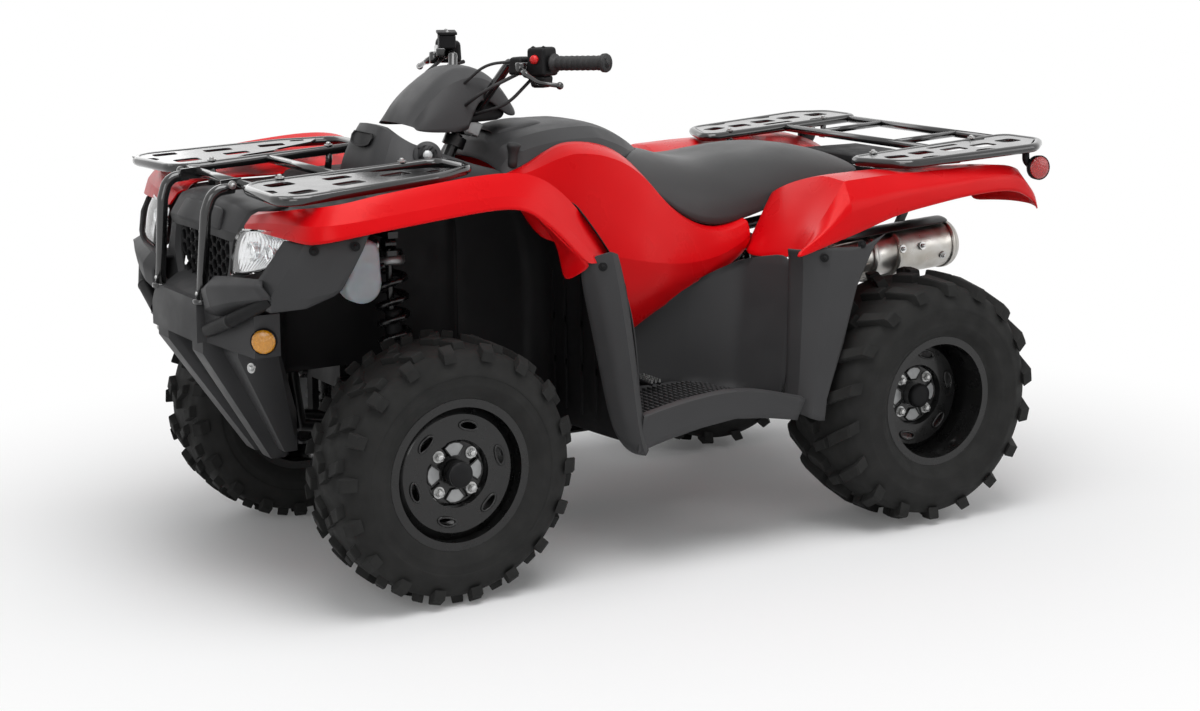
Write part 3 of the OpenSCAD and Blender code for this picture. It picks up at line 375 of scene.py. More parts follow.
def tyre(name, end, centre, side, body, nodes):
    """A tyre: its carcass with a rim guard and raised rings, and the lugs round it."""
    radius, half, flange, rim_half, depth, pitches = tyre_sizes[end]
    base = radius - depth

    def foot(offset):
        far = min(offset / 1000 / half, 1.0)
        return base - 0.003 - 0.012 * far**2 - 0.05 * max(0, far - 0.8) ** 1.2 * 2

    def top(offset):
        far = min(offset / 1000 / half, 1.0)
        return radius - 0.0005 - 0.008 * far**2 - 0.07 * max(0, far - 0.82)

    crown = [(half * t, foot(half * t * 1000) + 0.002) for t in (0, 0.2, 0.4, 0.6, 0.75, 0.86)]
    wall = [(half * 0.94, base - 0.038), (half * 0.985, base - 0.052), (half * 0.998, base - 0.058),
            (half * 0.984, base - 0.064), (half * 0.992, base * 0.5 + flange * 0.5), (half * 0.972, flange + 0.036),
            (half * 0.992, flange + 0.031), (half * 0.968, flange + 0.026), (half * 0.955, flange + 0.018),
            (rim_half + 0.0035, flange + 0.008), (rim_half + 0.001, flange + 0.002),
            (rim_half - 0.006, flange - 0.006)]
    inner = [(rim_half - 0.014, flange - 0.004), (half - 0.014, flange + 0.04), (half - 0.016, base - 0.05),
             (half * 0.6, base - 0.02), (0, base - 0.016)]
    half_outline = crown + wall + inner
    outline = half_outline + [(-a, r) for a, r in reversed(half_outline[1:-1])]
    points, faces = turned(outline, centre)
    carcass = mesh_object(name + "_carcass", points, faces, rubber)
    carcass.modifiers.new("smooth", "SUBSURF").levels = 1
    carcass.modifiers["smooth"].render_levels = 1
    half_mm = half * 1000
    if end == "front":
        blocks = [
            [(2, 0), (0.3 * half_mm, 14), (0.3 * half_mm, 30), (2, 17)],
            [(-2, 17), (-0.3 * half_mm, 32), (-0.3 * half_mm, 48), (-2, 34)],
            [(0.42 * half_mm, 18), (0.72 * half_mm, 30), (0.7 * half_mm, 50), (0.4 * half_mm, 38)],
            [(-0.42 * half_mm, -16), (-0.72 * half_mm, -4), (-0.7 * half_mm, 16), (-0.4 * half_mm, 4)],
            [(0.8 * half_mm, 0), (0.985 * half_mm, 2), (0.985 * half_mm, 22), (0.8 * half_mm, 24)],
            [(-0.8 * half_mm, 34), (-0.985 * half_mm, 36), (-0.985 * half_mm, 56), (-0.8 * half_mm, 58)],
        ]
    else:
        blocks = [
            [(-5, -8), (0.34 * half_mm, 10), (0.33 * half_mm, 32), (-5, 15)],
            [(5, 33), (-0.34 * half_mm, 51), (-0.33 * half_mm, 73), (5, 56)],
            [(0.43 * half_mm, 14), (0.985 * half_mm, 42), (0.985 * half_mm, 66), (0.42 * half_mm, 38)],
            [(-0.43 * half_mm, 55), (-0.985 * half_mm, 83), (-0.985 * half_mm, 107), (-0.42 * half_mm, 79)],
        ]
    longer = 1.36 if end == "front" else 1.22
    blocks = [[(offset, along * longer) for offset, along in block] for block in blocks]
    pattern = outward(joined([lug(block, foot, top) for block in blocks]))
    if side < 0:
        pattern = mirrored(pattern)
    blocks = grown(name + "_lugs", ring_tree, pattern, rubber, body, Count=pitches, Centre=centre)
    blocks.data.shade_flat()
    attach(carcass, body)
    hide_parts(*nodes)


wheels = [
    # corner, end, centre, side, body, CAD nodes that the tyre replaces
    ("front_left", "front", (0.6335, 0.400, 0.290), 1, "front_left", ["front_left_tyre"]),
    ("front_right", "front", (0.6335, -0.400, 0.290), -1, "front_right", ["front_right_tyre"]),
    ("rear_left", "rear", (-0.6335, 0.437, 0.304), 1, "rear", ["rear_tyres"]),
    ("rear_right", "rear", (-0.6335, -0.437, 0.304), -1, "rear", []),
]
for corner, end, centre, side, body, nodes in wheels:
    tyre(corner + "_tyre_skin", end, centre, side, body, nodes)

# Baked enamel on pressed steel: glossy black, with dust that dulls it in patches
rim_enamel = surfaced("gloss_black_rim_enamel", "#0B0B0C", 0.2, ("#090909", "#151515", 40), (0.2, 0.42, 30),
                      (5.0, 0.06), gloss=0.3, extra={"Coat Weight": 0.35, "Coat Roughness": 0.1})
finish_node(rim_enamel, "front_left_wheel", "front_right_wheel", "rear_wheels")

# Zinc plated steel: pale grey metal, with a fine uneven sheen
zinc = surfaced("zinc_plated_steel", "#B4B5B5", 0.34, ("#9FA0A1", "#C6C6C4", 12), (0.24, 0.46, 9), (1.0, 0.03),
                metallic=1.0)

# Cast aluminium, as it leaves the mould and its lathe: dull silver with a sandy grain
cast_alloy = surfaced("cast_aluminium", "#9B9C9D", 0.5, ("#858687", "#ABACAC", 35), (0.42, 0.62, 14), (1.6, 0.12),
                      metallic=1.0)
finish_node(cast_alloy, "left_knuckle", "right_knuckle", "rear_axle", "engine")

# a bolt or nut on every point, turned to the way that the point faces
bolt_tree, given = new_tree("bolts_on_points", {"Head Radius": "Float", "Head Height": "Float",
                                                "Washer Radius": "Float"})
head = add(bolt_tree, "GeometryNodeMeshCylinder", {"Vertices": 6, "Radius": given["Head Radius"],
                                                   "Depth": given["Head Height"]})
dome = add(bolt_tree, "GeometryNodeMeshUVSphere", {"Segments": 12, "Rings": 6, "Radius": given["Head Radius"]})
dome = add(bolt_tree, "GeometryNodeTransform", {"Geometry": dome.outputs[0], "Scale": (0.8, 0.8, 0.45)})
lift = add(bolt_tree, "ShaderNodeMath", {0: given["Head Height"], 1: 0.5}, operation="MULTIPLY")
up = add(bolt_tree, "ShaderNodeCombineXYZ", {"Z": lift.outputs[0]})
head = add(bolt_tree, "GeometryNodeTransform", {"Geometry": head.outputs["Mesh"], "Translation": up.outputs[0]})
full = add(bolt_tree, "ShaderNodeCombineXYZ", {"Z": given["Head Height"]})
dome = add(bolt_tree, "GeometryNodeTransform", {"Geometry": dome.outputs[0], "Translation": full.outputs[0]})
washer = add(bolt_tree, "GeometryNodeMeshCylinder", {"Vertices": 20, "Radius": given["Washer Radius"],
                                                     "Depth": 0.003})
both = add(bolt_tree, "GeometryNodeJoinGeometry")
for part in (head.outputs[0], dome.outputs[0], washer.outputs["Mesh"]):
    bolt_tree.links.new(part, both.inputs[0])
facing = add(bolt_tree, "GeometryNodeInputNamedAttribute", {"Name": "facing"}, data_type="FLOAT_VECTOR")
aim = add(bolt_tree, "FunctionNodeAlignRotationToVector", {"Vector": facing.outputs[0]}, axis="Z")
set_in = add(bolt_tree, "GeometryNodeInstanceOnPoints", {"Points": given["Geometry"], "Instance": both.outputs[0],
                                                         "Rotation": aim.outputs[0]})
end_tree(bolt_tree, given, set_in.outputs[0])


def bolts(name, places, material, body, head=0.006, height=0.005, washer=0.009):
    """Bolts on a list of (place, facing)."""
    return grown(name, bolt_tree, ([p for p, _ in places], []), material, body, facing=[f for _, f in places],
                 **{"Head Radius": head, "Head Height": height, "Washer Radius": washer})


hub_planes = {
    # distance from the middle of the quad bike to the hub's face, to its nuts and to the top of its cap
    "front": (0.4585, 0.459, 0.488),
    "rear": (0.4495, 0.450, 0.479),
}
nut_circle = 0.055
for corner, end, centre, side, body, nodes in wheels:
    nut_y = side * hub_planes[end][1]
    ring = [((centre[0] + nut_circle * math.cos(a), nut_y, centre[2] + nut_circle * math.sin(a)), (0, side, 0))
            for a in (math.radians(45 + 90 * k) for k in range(4))]
    bolts(corner + "_wheel_nuts", ring, zinc, body, head=0.0095, height=0.011, washer=0.013)

# ---- The red bodywork ----
# Injection moulded polypropylene, coloured through and glossy: the front
# fenders, the side covers below the seat and the rear fenders. Each is a
# stretched skin with a folded lip, screwed to the frame and to its neighbours.


sharp_from = 0.7  # a crease this strong is also a sharp edge


def mm(value):
    """Numbers, points or rows of them that are given in millimetres, in metres."""
    return type(value)(mm(part) for part in value) if isinstance(value, (list, tuple)) else value / 1000


def panel(name, rows, material, away, thickness=0.003, row_creases=None, col_creases=None, mirror=True, hem=0.6,
          corners=False):
    """A moulded skin through rows of points, facing away from a point, and the same on the other side."""
    count, wide = len(rows), len(rows[0])
    work = bmesh.new()
    crease = work.edges.layers.float.new("crease_edge")
    for side in (1, -1) if mirror else (1,):
        grid = [[work.verts.new((p[0], side * p[1], p[2])) for p in row] for row in rows]
        quads = []
        for i in range(count - 1):
            for j in range(wide - 1):
                loop = [grid[i][j], grid[i + 1][j], grid[i + 1][j + 1], grid[i][j + 1]]
                distinct = []
                for vert in loop:
                    if all((vert.co - other.co).length > 1e-6 for other in distinct):
                        distinct.append(vert)
                if len(distinct) > 2:
                    quads.append(work.faces.new(distinct))
        work.normal_update()
        target = Vector((away[0], side * away[1], away[2]))
        lean = sum(f.normal.dot(f.calc_center_median() - target) * f.calc_area() for f in quads)
        if lean < 0:
            bmesh.ops.reverse_faces(work, faces=quads)
        for i in range(count):
            for j in range(wide):
                for value, next_i, next_j in (((row_creases or {}).get(i), i, j + 1),
                                              ((col_creases or {}).get(j), i + 1, j)):
                    if value is not None and next_i < count and next_j < wide:
                        edge = work.edges.get((grid[i][j], grid[next_i][next_j]))
                        if edge:
                            edge[crease] = value
                            edge.smooth = value < sharp_from
    bmesh.ops.remove_doubles(work, verts=work.verts, dist=1e-5)
    mesh = bpy.data.meshes.new(name)
    work.to_mesh(mesh)
    work.free()
    mesh.shade_smooth()
    mesh.materials.append(material)
    piece = in_scene(name, mesh)
    if thickness:
        wall = piece.modifiers.new("wall", "SOLIDIFY")
        wall.thickness = thickness
        wall.offset = -1
        wall.edge_crease_outer = wall.edge_crease_inner = hem
        wall.edge_crease_rim = 1.0 if corners else 0.0
    soften = piece.modifiers.new("skin", "SUBSURF")
    soften.levels = soften.render_levels = 2
    soften.boundary_smooth = "PRESERVE_CORNERS"
    return piece


def on(body, piece, *nodes):
    """Rides a finished piece on a body, in place of the CAD nodes that it stands for."""
    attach(piece, body)
    if nodes:
        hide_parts(*nodes)
    return piece


# Moulded polypropylene, polished mould: saturated red, glossy, with faint flow marks and handling scratches
red_plastic = surfaced("gloss_red_polypropylene", "#D2040D", 0.3, ("#D0040C", "#DE0A14", 160), (0.24, 0.38, 90),
                       (14.0, 0.06), gloss=0.4, extra={"IOR": 1.49, "Coat Weight": 0.05,
                                                       "Specular Tint": (1.0, 0.22, 0.2, 1.0),
                                                       "Coat Roughness": 0.16})

fender_rows = mm([
    # inner edge under the rack, foot of the hump, crest, crease, lip
    [(950, 200, 838), (953, 205, 840), (955, 210, 842), (971, 210, 835), (985, 210, 818), (992, 210, 806)],
    [(905, 285, 846), (918, 255, 848), (932, 300, 850), (962, 300, 852), (980, 300, 832), (990, 300, 812)],
    [(870, 285, 850), (885, 310, 853), (900, 360, 858), (945, 385, 868), (966, 395, 838), (975, 400, 808)],
    [(840, 285, 852), (855, 315, 855), (870, 395, 862), (925, 440, 876), (948, 462, 840), (958, 467, 804)],
    [(800, 285, 852), (815, 325, 856), (836, 408, 866), (880, 472, 884), (905, 498, 845), (915, 508, 815)],
    [(750, 285, 852), (760, 325, 858), (780, 410, 872), (822, 475, 896), (832, 501, 852), (840, 511, 825)],
    [(689, 285, 852), (689, 325, 862), (689, 412, 885), (689, 475, 911), (689, 501, 866), (689, 511, 840)],
    [(600, 285, 852), (600, 325, 866), (600, 412, 895), (600, 475, 920), (605, 501, 874), (605, 511, 848)],
    [(537, 285, 852), (530, 325, 868), (525, 412, 900), (520, 475, 924), (530, 501, 878), (538, 511, 852)],
    [(480, 285, 850), (465, 325, 866), (450, 412, 897), (450, 475, 919), (472, 501, 870), (487, 511, 848)],
    [(430, 285, 846), (410, 325, 858), (385, 415, 874), (390, 475, 888), (422, 501, 842), (447, 511, 824)],
    [(380, 290, 830), (360, 330, 828), (325, 420, 820), (332, 475, 832), (372, 501, 795), (402, 511, 786)],
    [(350, 280, 790), (325, 345, 786), (275, 425, 764), (286, 475, 772), (330, 500, 750), (366, 510, 750)],
    [(330, 310, 745), (295, 360, 742), (243, 428, 722), (254, 475, 728), (300, 500, 716), (334, 510, 718)],
])
on("chassis", panel("front_fender_skins", fender_rows, red_plastic, (0.6, 0.30, 0.55), 0.004,
                    row_creases={0: 0.7, 3: 0.3, 13: 0.9}, col_creases={2: 0.45, 3: 0.7, 4: 0.85}, hem=0.9),
   "front_fenders")

# the inner skin behind each hump, which closes it towards the footwell
skin_rows = mm([
    [(470, 508, 838), (452, 470, 842), (440, 430, 842)],
    [(425, 508, 800), (408, 472, 800), (398, 430, 800)],
    [(385, 508, 762), (372, 474, 758), (362, 430, 752)],
    [(345, 507, 728), (350, 474, 712), (352, 432, 698)],
    [(318, 506, 712), (335, 476, 690), (345, 434, 668)],
])
on("chassis", panel("fender_inner_skins", skin_rows, red_plastic, (0.2, 0.45, 0.9), 0.003, row_creases={2: 0.4}))

cover_rows = mm([
    # top edge, shoulder, belt, crease, lower edge; from the front to the back
    [(360, 168, 872), (358, 196, 868), (356, 204, 858), (354, 206, 850), (352, 206, 842), (350, 204, 834)],
    [(296, 174, 890), (294, 212, 882), (291, 222, 850), (288, 228, 830), (284, 230, 812), (280, 228, 795)],
    [(250, 177, 920), (248, 220, 905), (242, 240, 830), (238, 248, 780), (234, 249, 735), (228, 231, 690)],
    [(200, 178, 940), (195, 226, 920), (188, 250, 800), (180, 264, 700), (174, 264, 570), (168, 242, 462)],
    [(130, 178, 940), (125, 228, 916), (112, 252, 780), (104, 272, 680), (98, 272, 570), (96, 246, 470)],
    [(60, 180, 920), (56, 230, 892), (46, 254, 760), (40, 276, 665), (36, 273, 580), (34, 248, 510)],
    [(0, 190, 872), (-2, 232, 850), (-8, 256, 738), (-12, 274, 655), (-16, 270, 592), (-18, 246, 538)],
    [(-60, 206, 792), (-60, 240, 776), (-64, 256, 704), (-66, 268, 648), (-70, 264, 602), (-74, 242, 560)],
    [(-130, 212, 738), (-130, 242, 726), (-132, 252, 684), (-132, 261, 646), (-134, 256, 614), (-138, 238, 585)],
    [(-200, 214, 715), (-200, 241, 704), (-200, 250, 680), (-200, 257, 656), (-200, 256, 634), (-200, 250, 614)],
    [(-262, 214, 728), (-262, 240, 717), (-262, 249, 699), (-262, 254, 682), (-262, 253, 664), (-262, 248, 650)],
    [(-285, 214, 738), (-285, 238, 728), (-285, 246, 713), (-285, 250, 699), (-285, 249, 685), (-285, 244, 674)],
])
on("chassis", panel("side_cover_skins", cover_rows, red_plastic, (0.0, 0.0, 0.60), 0.004,
                    row_creases={0: 0.4, 3: 0.3}, col_creases={1: 0.85, 2: 0.35, 3: 0.75, 4: 0.3}, hem=0.9),
   "side_covers")

rear_rows = mm([
    # edge by the seat, inner top, crest, outer edge, lower lip; from the front to the tail
    [(-270, 238, 652), (-272, 300, 652), (-288, 400, 664), (-280, 450, 680), (-250, 485, 690), (-238, 492, 676)],
    [(-300, 234, 694), (-304, 296, 702), (-320, 390, 718), (-316, 452, 726), (-296, 488, 716), (-286, 494, 688)],
    [(-334, 226, 742), (-342, 290, 760), (-358, 382, 780), (-358, 455, 780), (-344, 490, 746), (-336, 495, 702)],
    [(-370, 216, 790), (-382, 280, 824), (-398, 380, 847), (-402, 455, 840), (-398, 490, 786), (-394, 496, 716)],
    [(-440, 212, 792), (-445, 280, 828), (-452, 380, 850), (-458, 455, 842), (-462, 490, 795), (-462, 496, 735)],
    [(-530, 212, 794), (-530, 280, 826), (-530, 380, 852), (-530, 456, 846), (-536, 490, 808), (-540, 496, 758)],
    [(-620, 212, 794), (-620, 280, 824), (-620, 380, 850), (-620, 457, 846), (-626, 490, 812), (-632, 496, 770)],
    [(-720, 212, 794), (-720, 280, 822), (-720, 380, 848), (-720, 458, 848), (-724, 490, 820), (-728, 496, 783)],
    [(-810, 212, 794), (-810, 280, 820), (-810, 380, 846), (-810, 458, 850), (-816, 490, 824), (-824, 496, 790)],
    [(-900, 214, 792), (-900, 280, 816), (-902, 380, 842), (-904, 456, 848), (-904, 488, 822), (-902, 494, 788)],
    [(-940, 230, 784), (-942, 290, 806), (-946, 380, 828), (-946, 450, 832), (-944, 482, 806), (-940, 488, 772)],
    [(-970, 250, 762), (-976, 300, 776), (-984, 380, 790), (-986, 446, 790), (-984, 476, 772), (-980, 483, 754)],
    [(-974, 260, 730), (-984, 305, 738), (-996, 380, 744), (-999, 444, 744), (-996, 472, 738), (-992, 480, 730)],
])
on("chassis", panel("rear_fender_skins", rear_rows, red_plastic, (-0.6, 0.25, 0.45), 0.004,
                    row_creases={2: 0.4, 3: 0.75, 10: 0.7}, col_creases={2: 0.4, 3: 1.0, 4: 0.6}, hem=0.9),
   "rear_fenders")

# ---- The grey bodywork ----
# Polypropylene coloured grey through, with a moulded grain: the mudguards
# and footwells, the front guards, the cheeks of the nose and the tank cover.

# Grained polypropylene: matt, scattered highlights; the grain is about 1 mm and drawn at 1.6 mm to show
grey_plastic = surfaced("grained_grey_polypropylene", "#3C3C3D", 0.5, ("#373738", "#424243", 120), (0.42, 0.58, 60),
                        (1.6, 0.1, "ShaderNodeTexVoronoi"), gloss=0.22)

# The same plastic in black, for liners, decks and brackets
black_plastic = surfaced("grained_black_polypropylene", "#161617", 0.48, ("#121213", "#1C1C1D", 90), (0.44, 0.62, 50),
                         (1.8, 0.1, "ShaderNodeTexVoronoi"), gloss=0.15)

guard_rows = mm([
    # inner column by the headlight to the outer one over the tyre, top row first
    [(978, 388, 806), (948, 432, 808), (900, 458, 811), (822, 464, 819)],
    [(996, 380, 776), (968, 428, 776), (908, 463, 776), (841, 468, 784)],
    [(1012, 352, 736), (990, 408, 734), (928, 455, 732), (864, 464, 742)],
    [(1020, 320, 704), (1004, 376, 694), (948, 436, 690), (882, 454, 706)],
    [(1012, 310, 666), (1002, 366, 656), (948, 420, 668), (893, 440, 692)],
])
on("chassis", panel("side_guard_shells", guard_rows, grey_plastic, (0.85, 0.25, 0.70), 0.005,
                    row_creases={3: 0.75}, col_creases={1: 0.75, 2: 0.5}, hem=1.0, corners=True), "side_guards")
bolts("side_guard_screws", [((x, s * y, z), (0.3, s, 0.15))
                            for x, y, z in ((0.940, 0.448, 0.790), (0.858, 0.470, 0.795))
                            for s in (1, -1)], black_plastic, "chassis", 0.006, 0.003, 0.010)

mudguard_rows = mm([
    # front edge, flat, ridge, back edge; from the pointed top to the foot
    [(322, 486, 722), (304, 504, 732), (274, 516, 740), (254, 508, 732), (248, 470, 722)],
    [(326, 468, 700), (304, 500, 706), (268, 517, 712), (244, 508, 700), (238, 468, 694)],
    [(312, 454, 655), (290, 494, 658), (256, 517, 660), (232, 508, 652), (226, 466, 648)],
    [(286, 448, 560), (266, 490, 562), (238, 517, 562), (216, 508, 558), (210, 466, 555)],
    [(258, 450, 430), (241, 490, 430), (217, 517, 430), (197, 508, 428), (191, 468, 426)],
    [(238, 456, 325), (223, 492, 322), (203, 518, 320), (184, 510, 322), (178, 474, 324)],
    [(206, 472, 280), (197, 498, 276), (186, 518, 276), (174, 511, 286), (168, 476, 292)],
])
on("chassis", panel("front_mudguard_strips", mudguard_rows, grey_plastic, (0.22, 0.40, 0.45), 0.005,
                    row_creases={0: 0.7, 1: 0.3}, col_creases={1: 0.4, 2: 0.7, 3: 0.6}, hem=0.9),
   "front_mudguards")
screw_places = [(0.292, 0.506, 0.708), (-0.318, 0.495, 0.672), (-0.425, 0.497, 0.695)]
bolts("mudguard_screws", [((x, s * y, z), (0.45, s, 0.1)) for x, y, z in screw_places for s in (1, -1)],
      black_plastic, "chassis", 0.006, 0.003, 0.010)

rear_guard_rows = mm([
    # the edge by the footwell, the corner, and the flared outer edge; from the top to the foot
    [(-252, 440, 690), (-262, 478, 692), (-340, 495, 694), (-430, 498, 690), (-495, 500, 716)],
    [(-258, 436, 670), (-270, 476, 668), (-336, 496, 660), (-400, 500, 650), (-458, 503, 690)],
    [(-262, 430, 620), (-276, 470, 615), (-322, 496, 600), (-372, 503, 590), (-405, 508, 600)],
    [(-264, 428, 500), (-276, 468, 495), (-310, 497, 480), (-344, 506, 470), (-366, 512, 470)],
    [(-262, 428, 380), (-272, 468, 372), (-300, 500, 360), (-310, 509, 350), (-319, 515, 345)],
    [(-256, 430, 318), (-264, 470, 308), (-282, 502, 298), (-300, 510, 292), (-312, 516, 292)],
])
on("chassis", panel("rear_mudguard_shells", rear_guard_rows, grey_plastic, (-0.45, 0.35, 0.50), 0.005,
                    row_creases={0: 0.6}, col_creases={1: 0.7, 2: 0.75}, hem=0.9, corners=True), "rear_mudguards")

# the footwell: its bulkheads and side wall are one skin, its floor and outer rim another
well_rows = mm([
    # from the front bulkhead's inner corner round to the rear bulkhead, bottom to top in each
    [(188, 500, 345), (196, 500, 430), (205, 500, 560), (235, 490, 690)],
    [(180, 420, 345), (190, 400, 430), (200, 380, 560), (232, 380, 700)],
    [(165, 300, 345), (175, 290, 430), (185, 285, 520), (190, 275, 560)],
    [(100, 235, 350), (95, 225, 420), (88, 225, 470), (84, 240, 500)],
    [(-20, 232, 356), (-24, 222, 430), (-28, 226, 510), (-30, 245, 555)],
    [(-130, 240, 350), (-134, 236, 440), (-138, 236, 540), (-140, 244, 605)],
    [(-205, 290, 340), (-215, 290, 440), (-225, 290, 560), (-228, 290, 650)],
    [(-244, 370, 335), (-252, 370, 440), (-258, 372, 560), (-262, 375, 668)],
    [(-266, 425, 335), (-272, 425, 440), (-274, 434, 560), (-270, 440, 680)],
])
on("chassis", panel("footwell_walls", well_rows, grey_plastic, (0.0, 0.10, 0.50), 0.004,
                    row_creases={2: 0.5, 5: 0.6, 6: 0.6}), "footwells")

floor_rows = mm([
    # outer foot, outer rim top, inside of the rim, floor, inner edge; from front to back
    [(204, 512, 284), (190, 516, 366), (186, 498, 370), (176, 490, 352), (165, 300, 350)],
    [(140, 512, 300), (120, 516, 380), (118, 498, 384), (116, 490, 358), (110, 235, 354)],
    [(40, 512, 318), (30, 516, 392), (30, 498, 396), (30, 490, 368), (30, 232, 360)],
    [(-60, 512, 328), (-70, 516, 396), (-70, 498, 400), (-70, 490, 370), (-70, 234, 362)],
    [(-150, 512, 318), (-160, 516, 378), (-160, 498, 382), (-160, 490, 352), (-160, 260, 348)],
    [(-236, 512, 302), (-258, 512, 350), (-258, 496, 354), (-252, 470, 338), (-246, 390, 336)],
])
on("chassis", panel("footwell_floors", floor_rows, grey_plastic, (0.0, 0.30, 0.20), 0.005,
                    col_creases={1: 0.85, 2: 0.7, 3: 0.6}, hem=0.9, corners=True))

# raised ribs across the floor, a short way apart
rib_tree, given = new_tree("ribs_on_points", {"Size": "Vector"})
bar = add(rib_tree, "GeometryNodeMeshCube", {"Size": given["Size"]})
laid = add(rib_tree, "GeometryNodeInstanceOnPoints", {"Points": given["Geometry"], "Instance": bar.outputs["Mesh"]})
end_tree(rib_tree, given, laid.outputs[0])


def floor_height(x):
    """The height of the footwell's floor along the quad bike."""
    return float(np.interp(x, [-0.24, -0.16, -0.07, 0.03, 0.116, 0.168],
                           [0.340, 0.3525, 0.3695, 0.3675, 0.3575, 0.353]))


ribs = [(x, s * y, floor_height(x) + 0.0015) for s in (1, -1) for x in np.arange(-0.155, 0.160, 0.0135)
        for y in np.arange(0.300 if abs(x) < 0.13 else 0.34, 0.485, 0.022)]
grown("footwell_floor_ribs", rib_tree, (ribs, []), grey_plastic, "chassis", Size=(0.005, 0.015, 0.006))

# ---- The seat and the tank cover ----
# Moulded foam under one stretched vinyl cover, tucked in along its lower
# edge, behind a grey cover over the tank that it meets in a V.

# Seat vinyl: leather-like grain of about 1 mm, semi-matt, a little shiny where riders slide
vinyl = surfaced("embossed_seat_vinyl", "#303131", 0.44, ("#2B2C2C", "#363637", 150), (0.4, 0.55, 110),
                 (1.7, 0.14, "ShaderNodeTexVoronoi"), gloss=0.3, extra={"Sheen Weight": 0.15})

seat_rows = []
for middle, *sides in mm([
    # the middle, then the left half outwards and down to the lower edge; from the front to the back
    [(-112, 0, 892), (-88, 50, 898), (-58, 95, 902), (-18, 138, 903), (12, 165, 898), (26, 182, 886)],
    [(-130, 0, 889), (-112, 55, 893), (-85, 105, 893), (-48, 150, 885), (-20, 186, 862), (-2, 202, 846)],
    [(-165, 0, 877), (-152, 60, 880), (-132, 115, 876), (-105, 162, 858), (-76, 199, 822), (-56, 214, 792)],
    [(-210, 0, 868), (-203, 65, 870), (-190, 120, 864), (-172, 168, 842), (-150, 206, 796), (-134, 219, 741)],
    [(-260, 0, 865), (-257, 70, 866), (-250, 125, 858), (-240, 172, 834), (-226, 209, 783), (-212, 221, 719)],
    [(-330, 0, 874), (-330, 75, 874), (-328, 130, 865), (-322, 178, 840), (-314, 211, 795), (-306, 221, 738)],
    [(-420, 0, 885), (-420, 80, 884), (-420, 135, 873), (-418, 182, 848), (-414, 210, 812), (-410, 217, 765)],
    [(-500, 0, 886), (-500, 80, 884), (-500, 135, 872), (-500, 180, 848), (-498, 205, 822), (-496, 211, 792)],
    [(-580, 0, 876), (-580, 78, 874), (-580, 130, 863), (-580, 170, 845), (-578, 192, 829), (-576, 198, 812)],
    [(-650, 0, 856), (-650, 70, 855), (-650, 120, 847), (-649, 152, 837), (-647, 170, 828), (-645, 176, 818)],
    [(-702, 0, 832), (-702, 60, 831), (-700, 100, 828), (-697, 124, 824), (-694, 138, 820), (-691, 143, 815)],
]):
    low = sides[-1]
    seat_rows.append([middle] + sides + [(low[0] - 0.004, low[1] - 0.014, low[2] - 0.008),
                                         (low[0] - 0.02, low[1] * 0.6, low[2] + 0.002),
                                         (middle[0], 0, low[2] + 0.004)])
front = [(x - 0.004, y * 0.8, min(z, 0.868)) for x, y, z in seat_rows[0]]
back = [(x - 0.016, y * 0.8, 0.812 + (z - 0.815) * 0.3) for x, y, z in seat_rows[-1]]
seat_rows = [[(-0.09, 0, 0.865)] * 9, front] + seat_rows + [back, [(-0.712, 0, 0.812)] * 9]
seat = panel("seat_pad", seat_rows, vinyl, (-0.35, 0, 0.80), 0, row_creases={2: 0.5}, col_creases={5: 0.55})
on("chassis", seat, "seat")


def cuts(*stations):
    """Rows of points from cuts across the quad bike: x, then y and z of each point, all in millimetres."""
    return mm([[(x, y, z) for y, z in half] for x, *half in stations])


tank_rows = cuts(
    (345, (0, 900), (60, 898), (110, 890), (145, 880), (166, 868)),
    (325, (0, 938), (60, 937), (120, 930), (154, 908), (171, 876)),
    (296, (0, 955), (60, 954), (124, 946), (158, 922), (174, 886)),
    (200, (0, 974), (60, 974), (126, 967), (164, 944), (176, 925)),
    (90, (0, 975), (60, 975), (124, 967), (164, 943), (177, 920)),
    (30, (0, 966), (60, 964), (112, 952), (154, 924), (172, 896)),
    (-30, (0, 940), (50, 937), (92, 924), (128, 896), (142, 872)),
    (-80, (0, 910), (30, 907), (56, 899), (76, 884), (85, 868)),
    (-112, (0, 888), (6, 887), (12, 884), (18, 878), (20, 866)),
)
on("chassis", panel("tank_cover_skin", tank_rows, grey_plastic, (0.1, 0, 0.80), 0.004,
                    row_creases={1: 0.5, 2: 0.4, 4: 0.5}, col_creases={2: 0.75, 3: 0.7}, hem=0.9), "tank_cover")
# the raised lid over the filler, with its finger edge
lid_rows = []
for x, half, top in mm([(300, 40, 958), (292, 58, 967), (240, 64, 976), (190, 60, 980), (168, 45, 976)]):
    lid_rows.append([(x, 0, top), (x, half * 0.8, top - 0.001), (x, half, top - 0.006),
                     (x, half + 0.004, top - 0.014)])
on("chassis", panel("filler_lid", lid_rows, grey_plastic, (0.24, 0, 0.90), 0.003, col_creases={2: 0.5}))

# ---- The cowl and the handlebar cover ----
# Grey shells: the cowl stands on the front deck in front of the column, and
# the cover is clipped on the handlebar and turns with it.

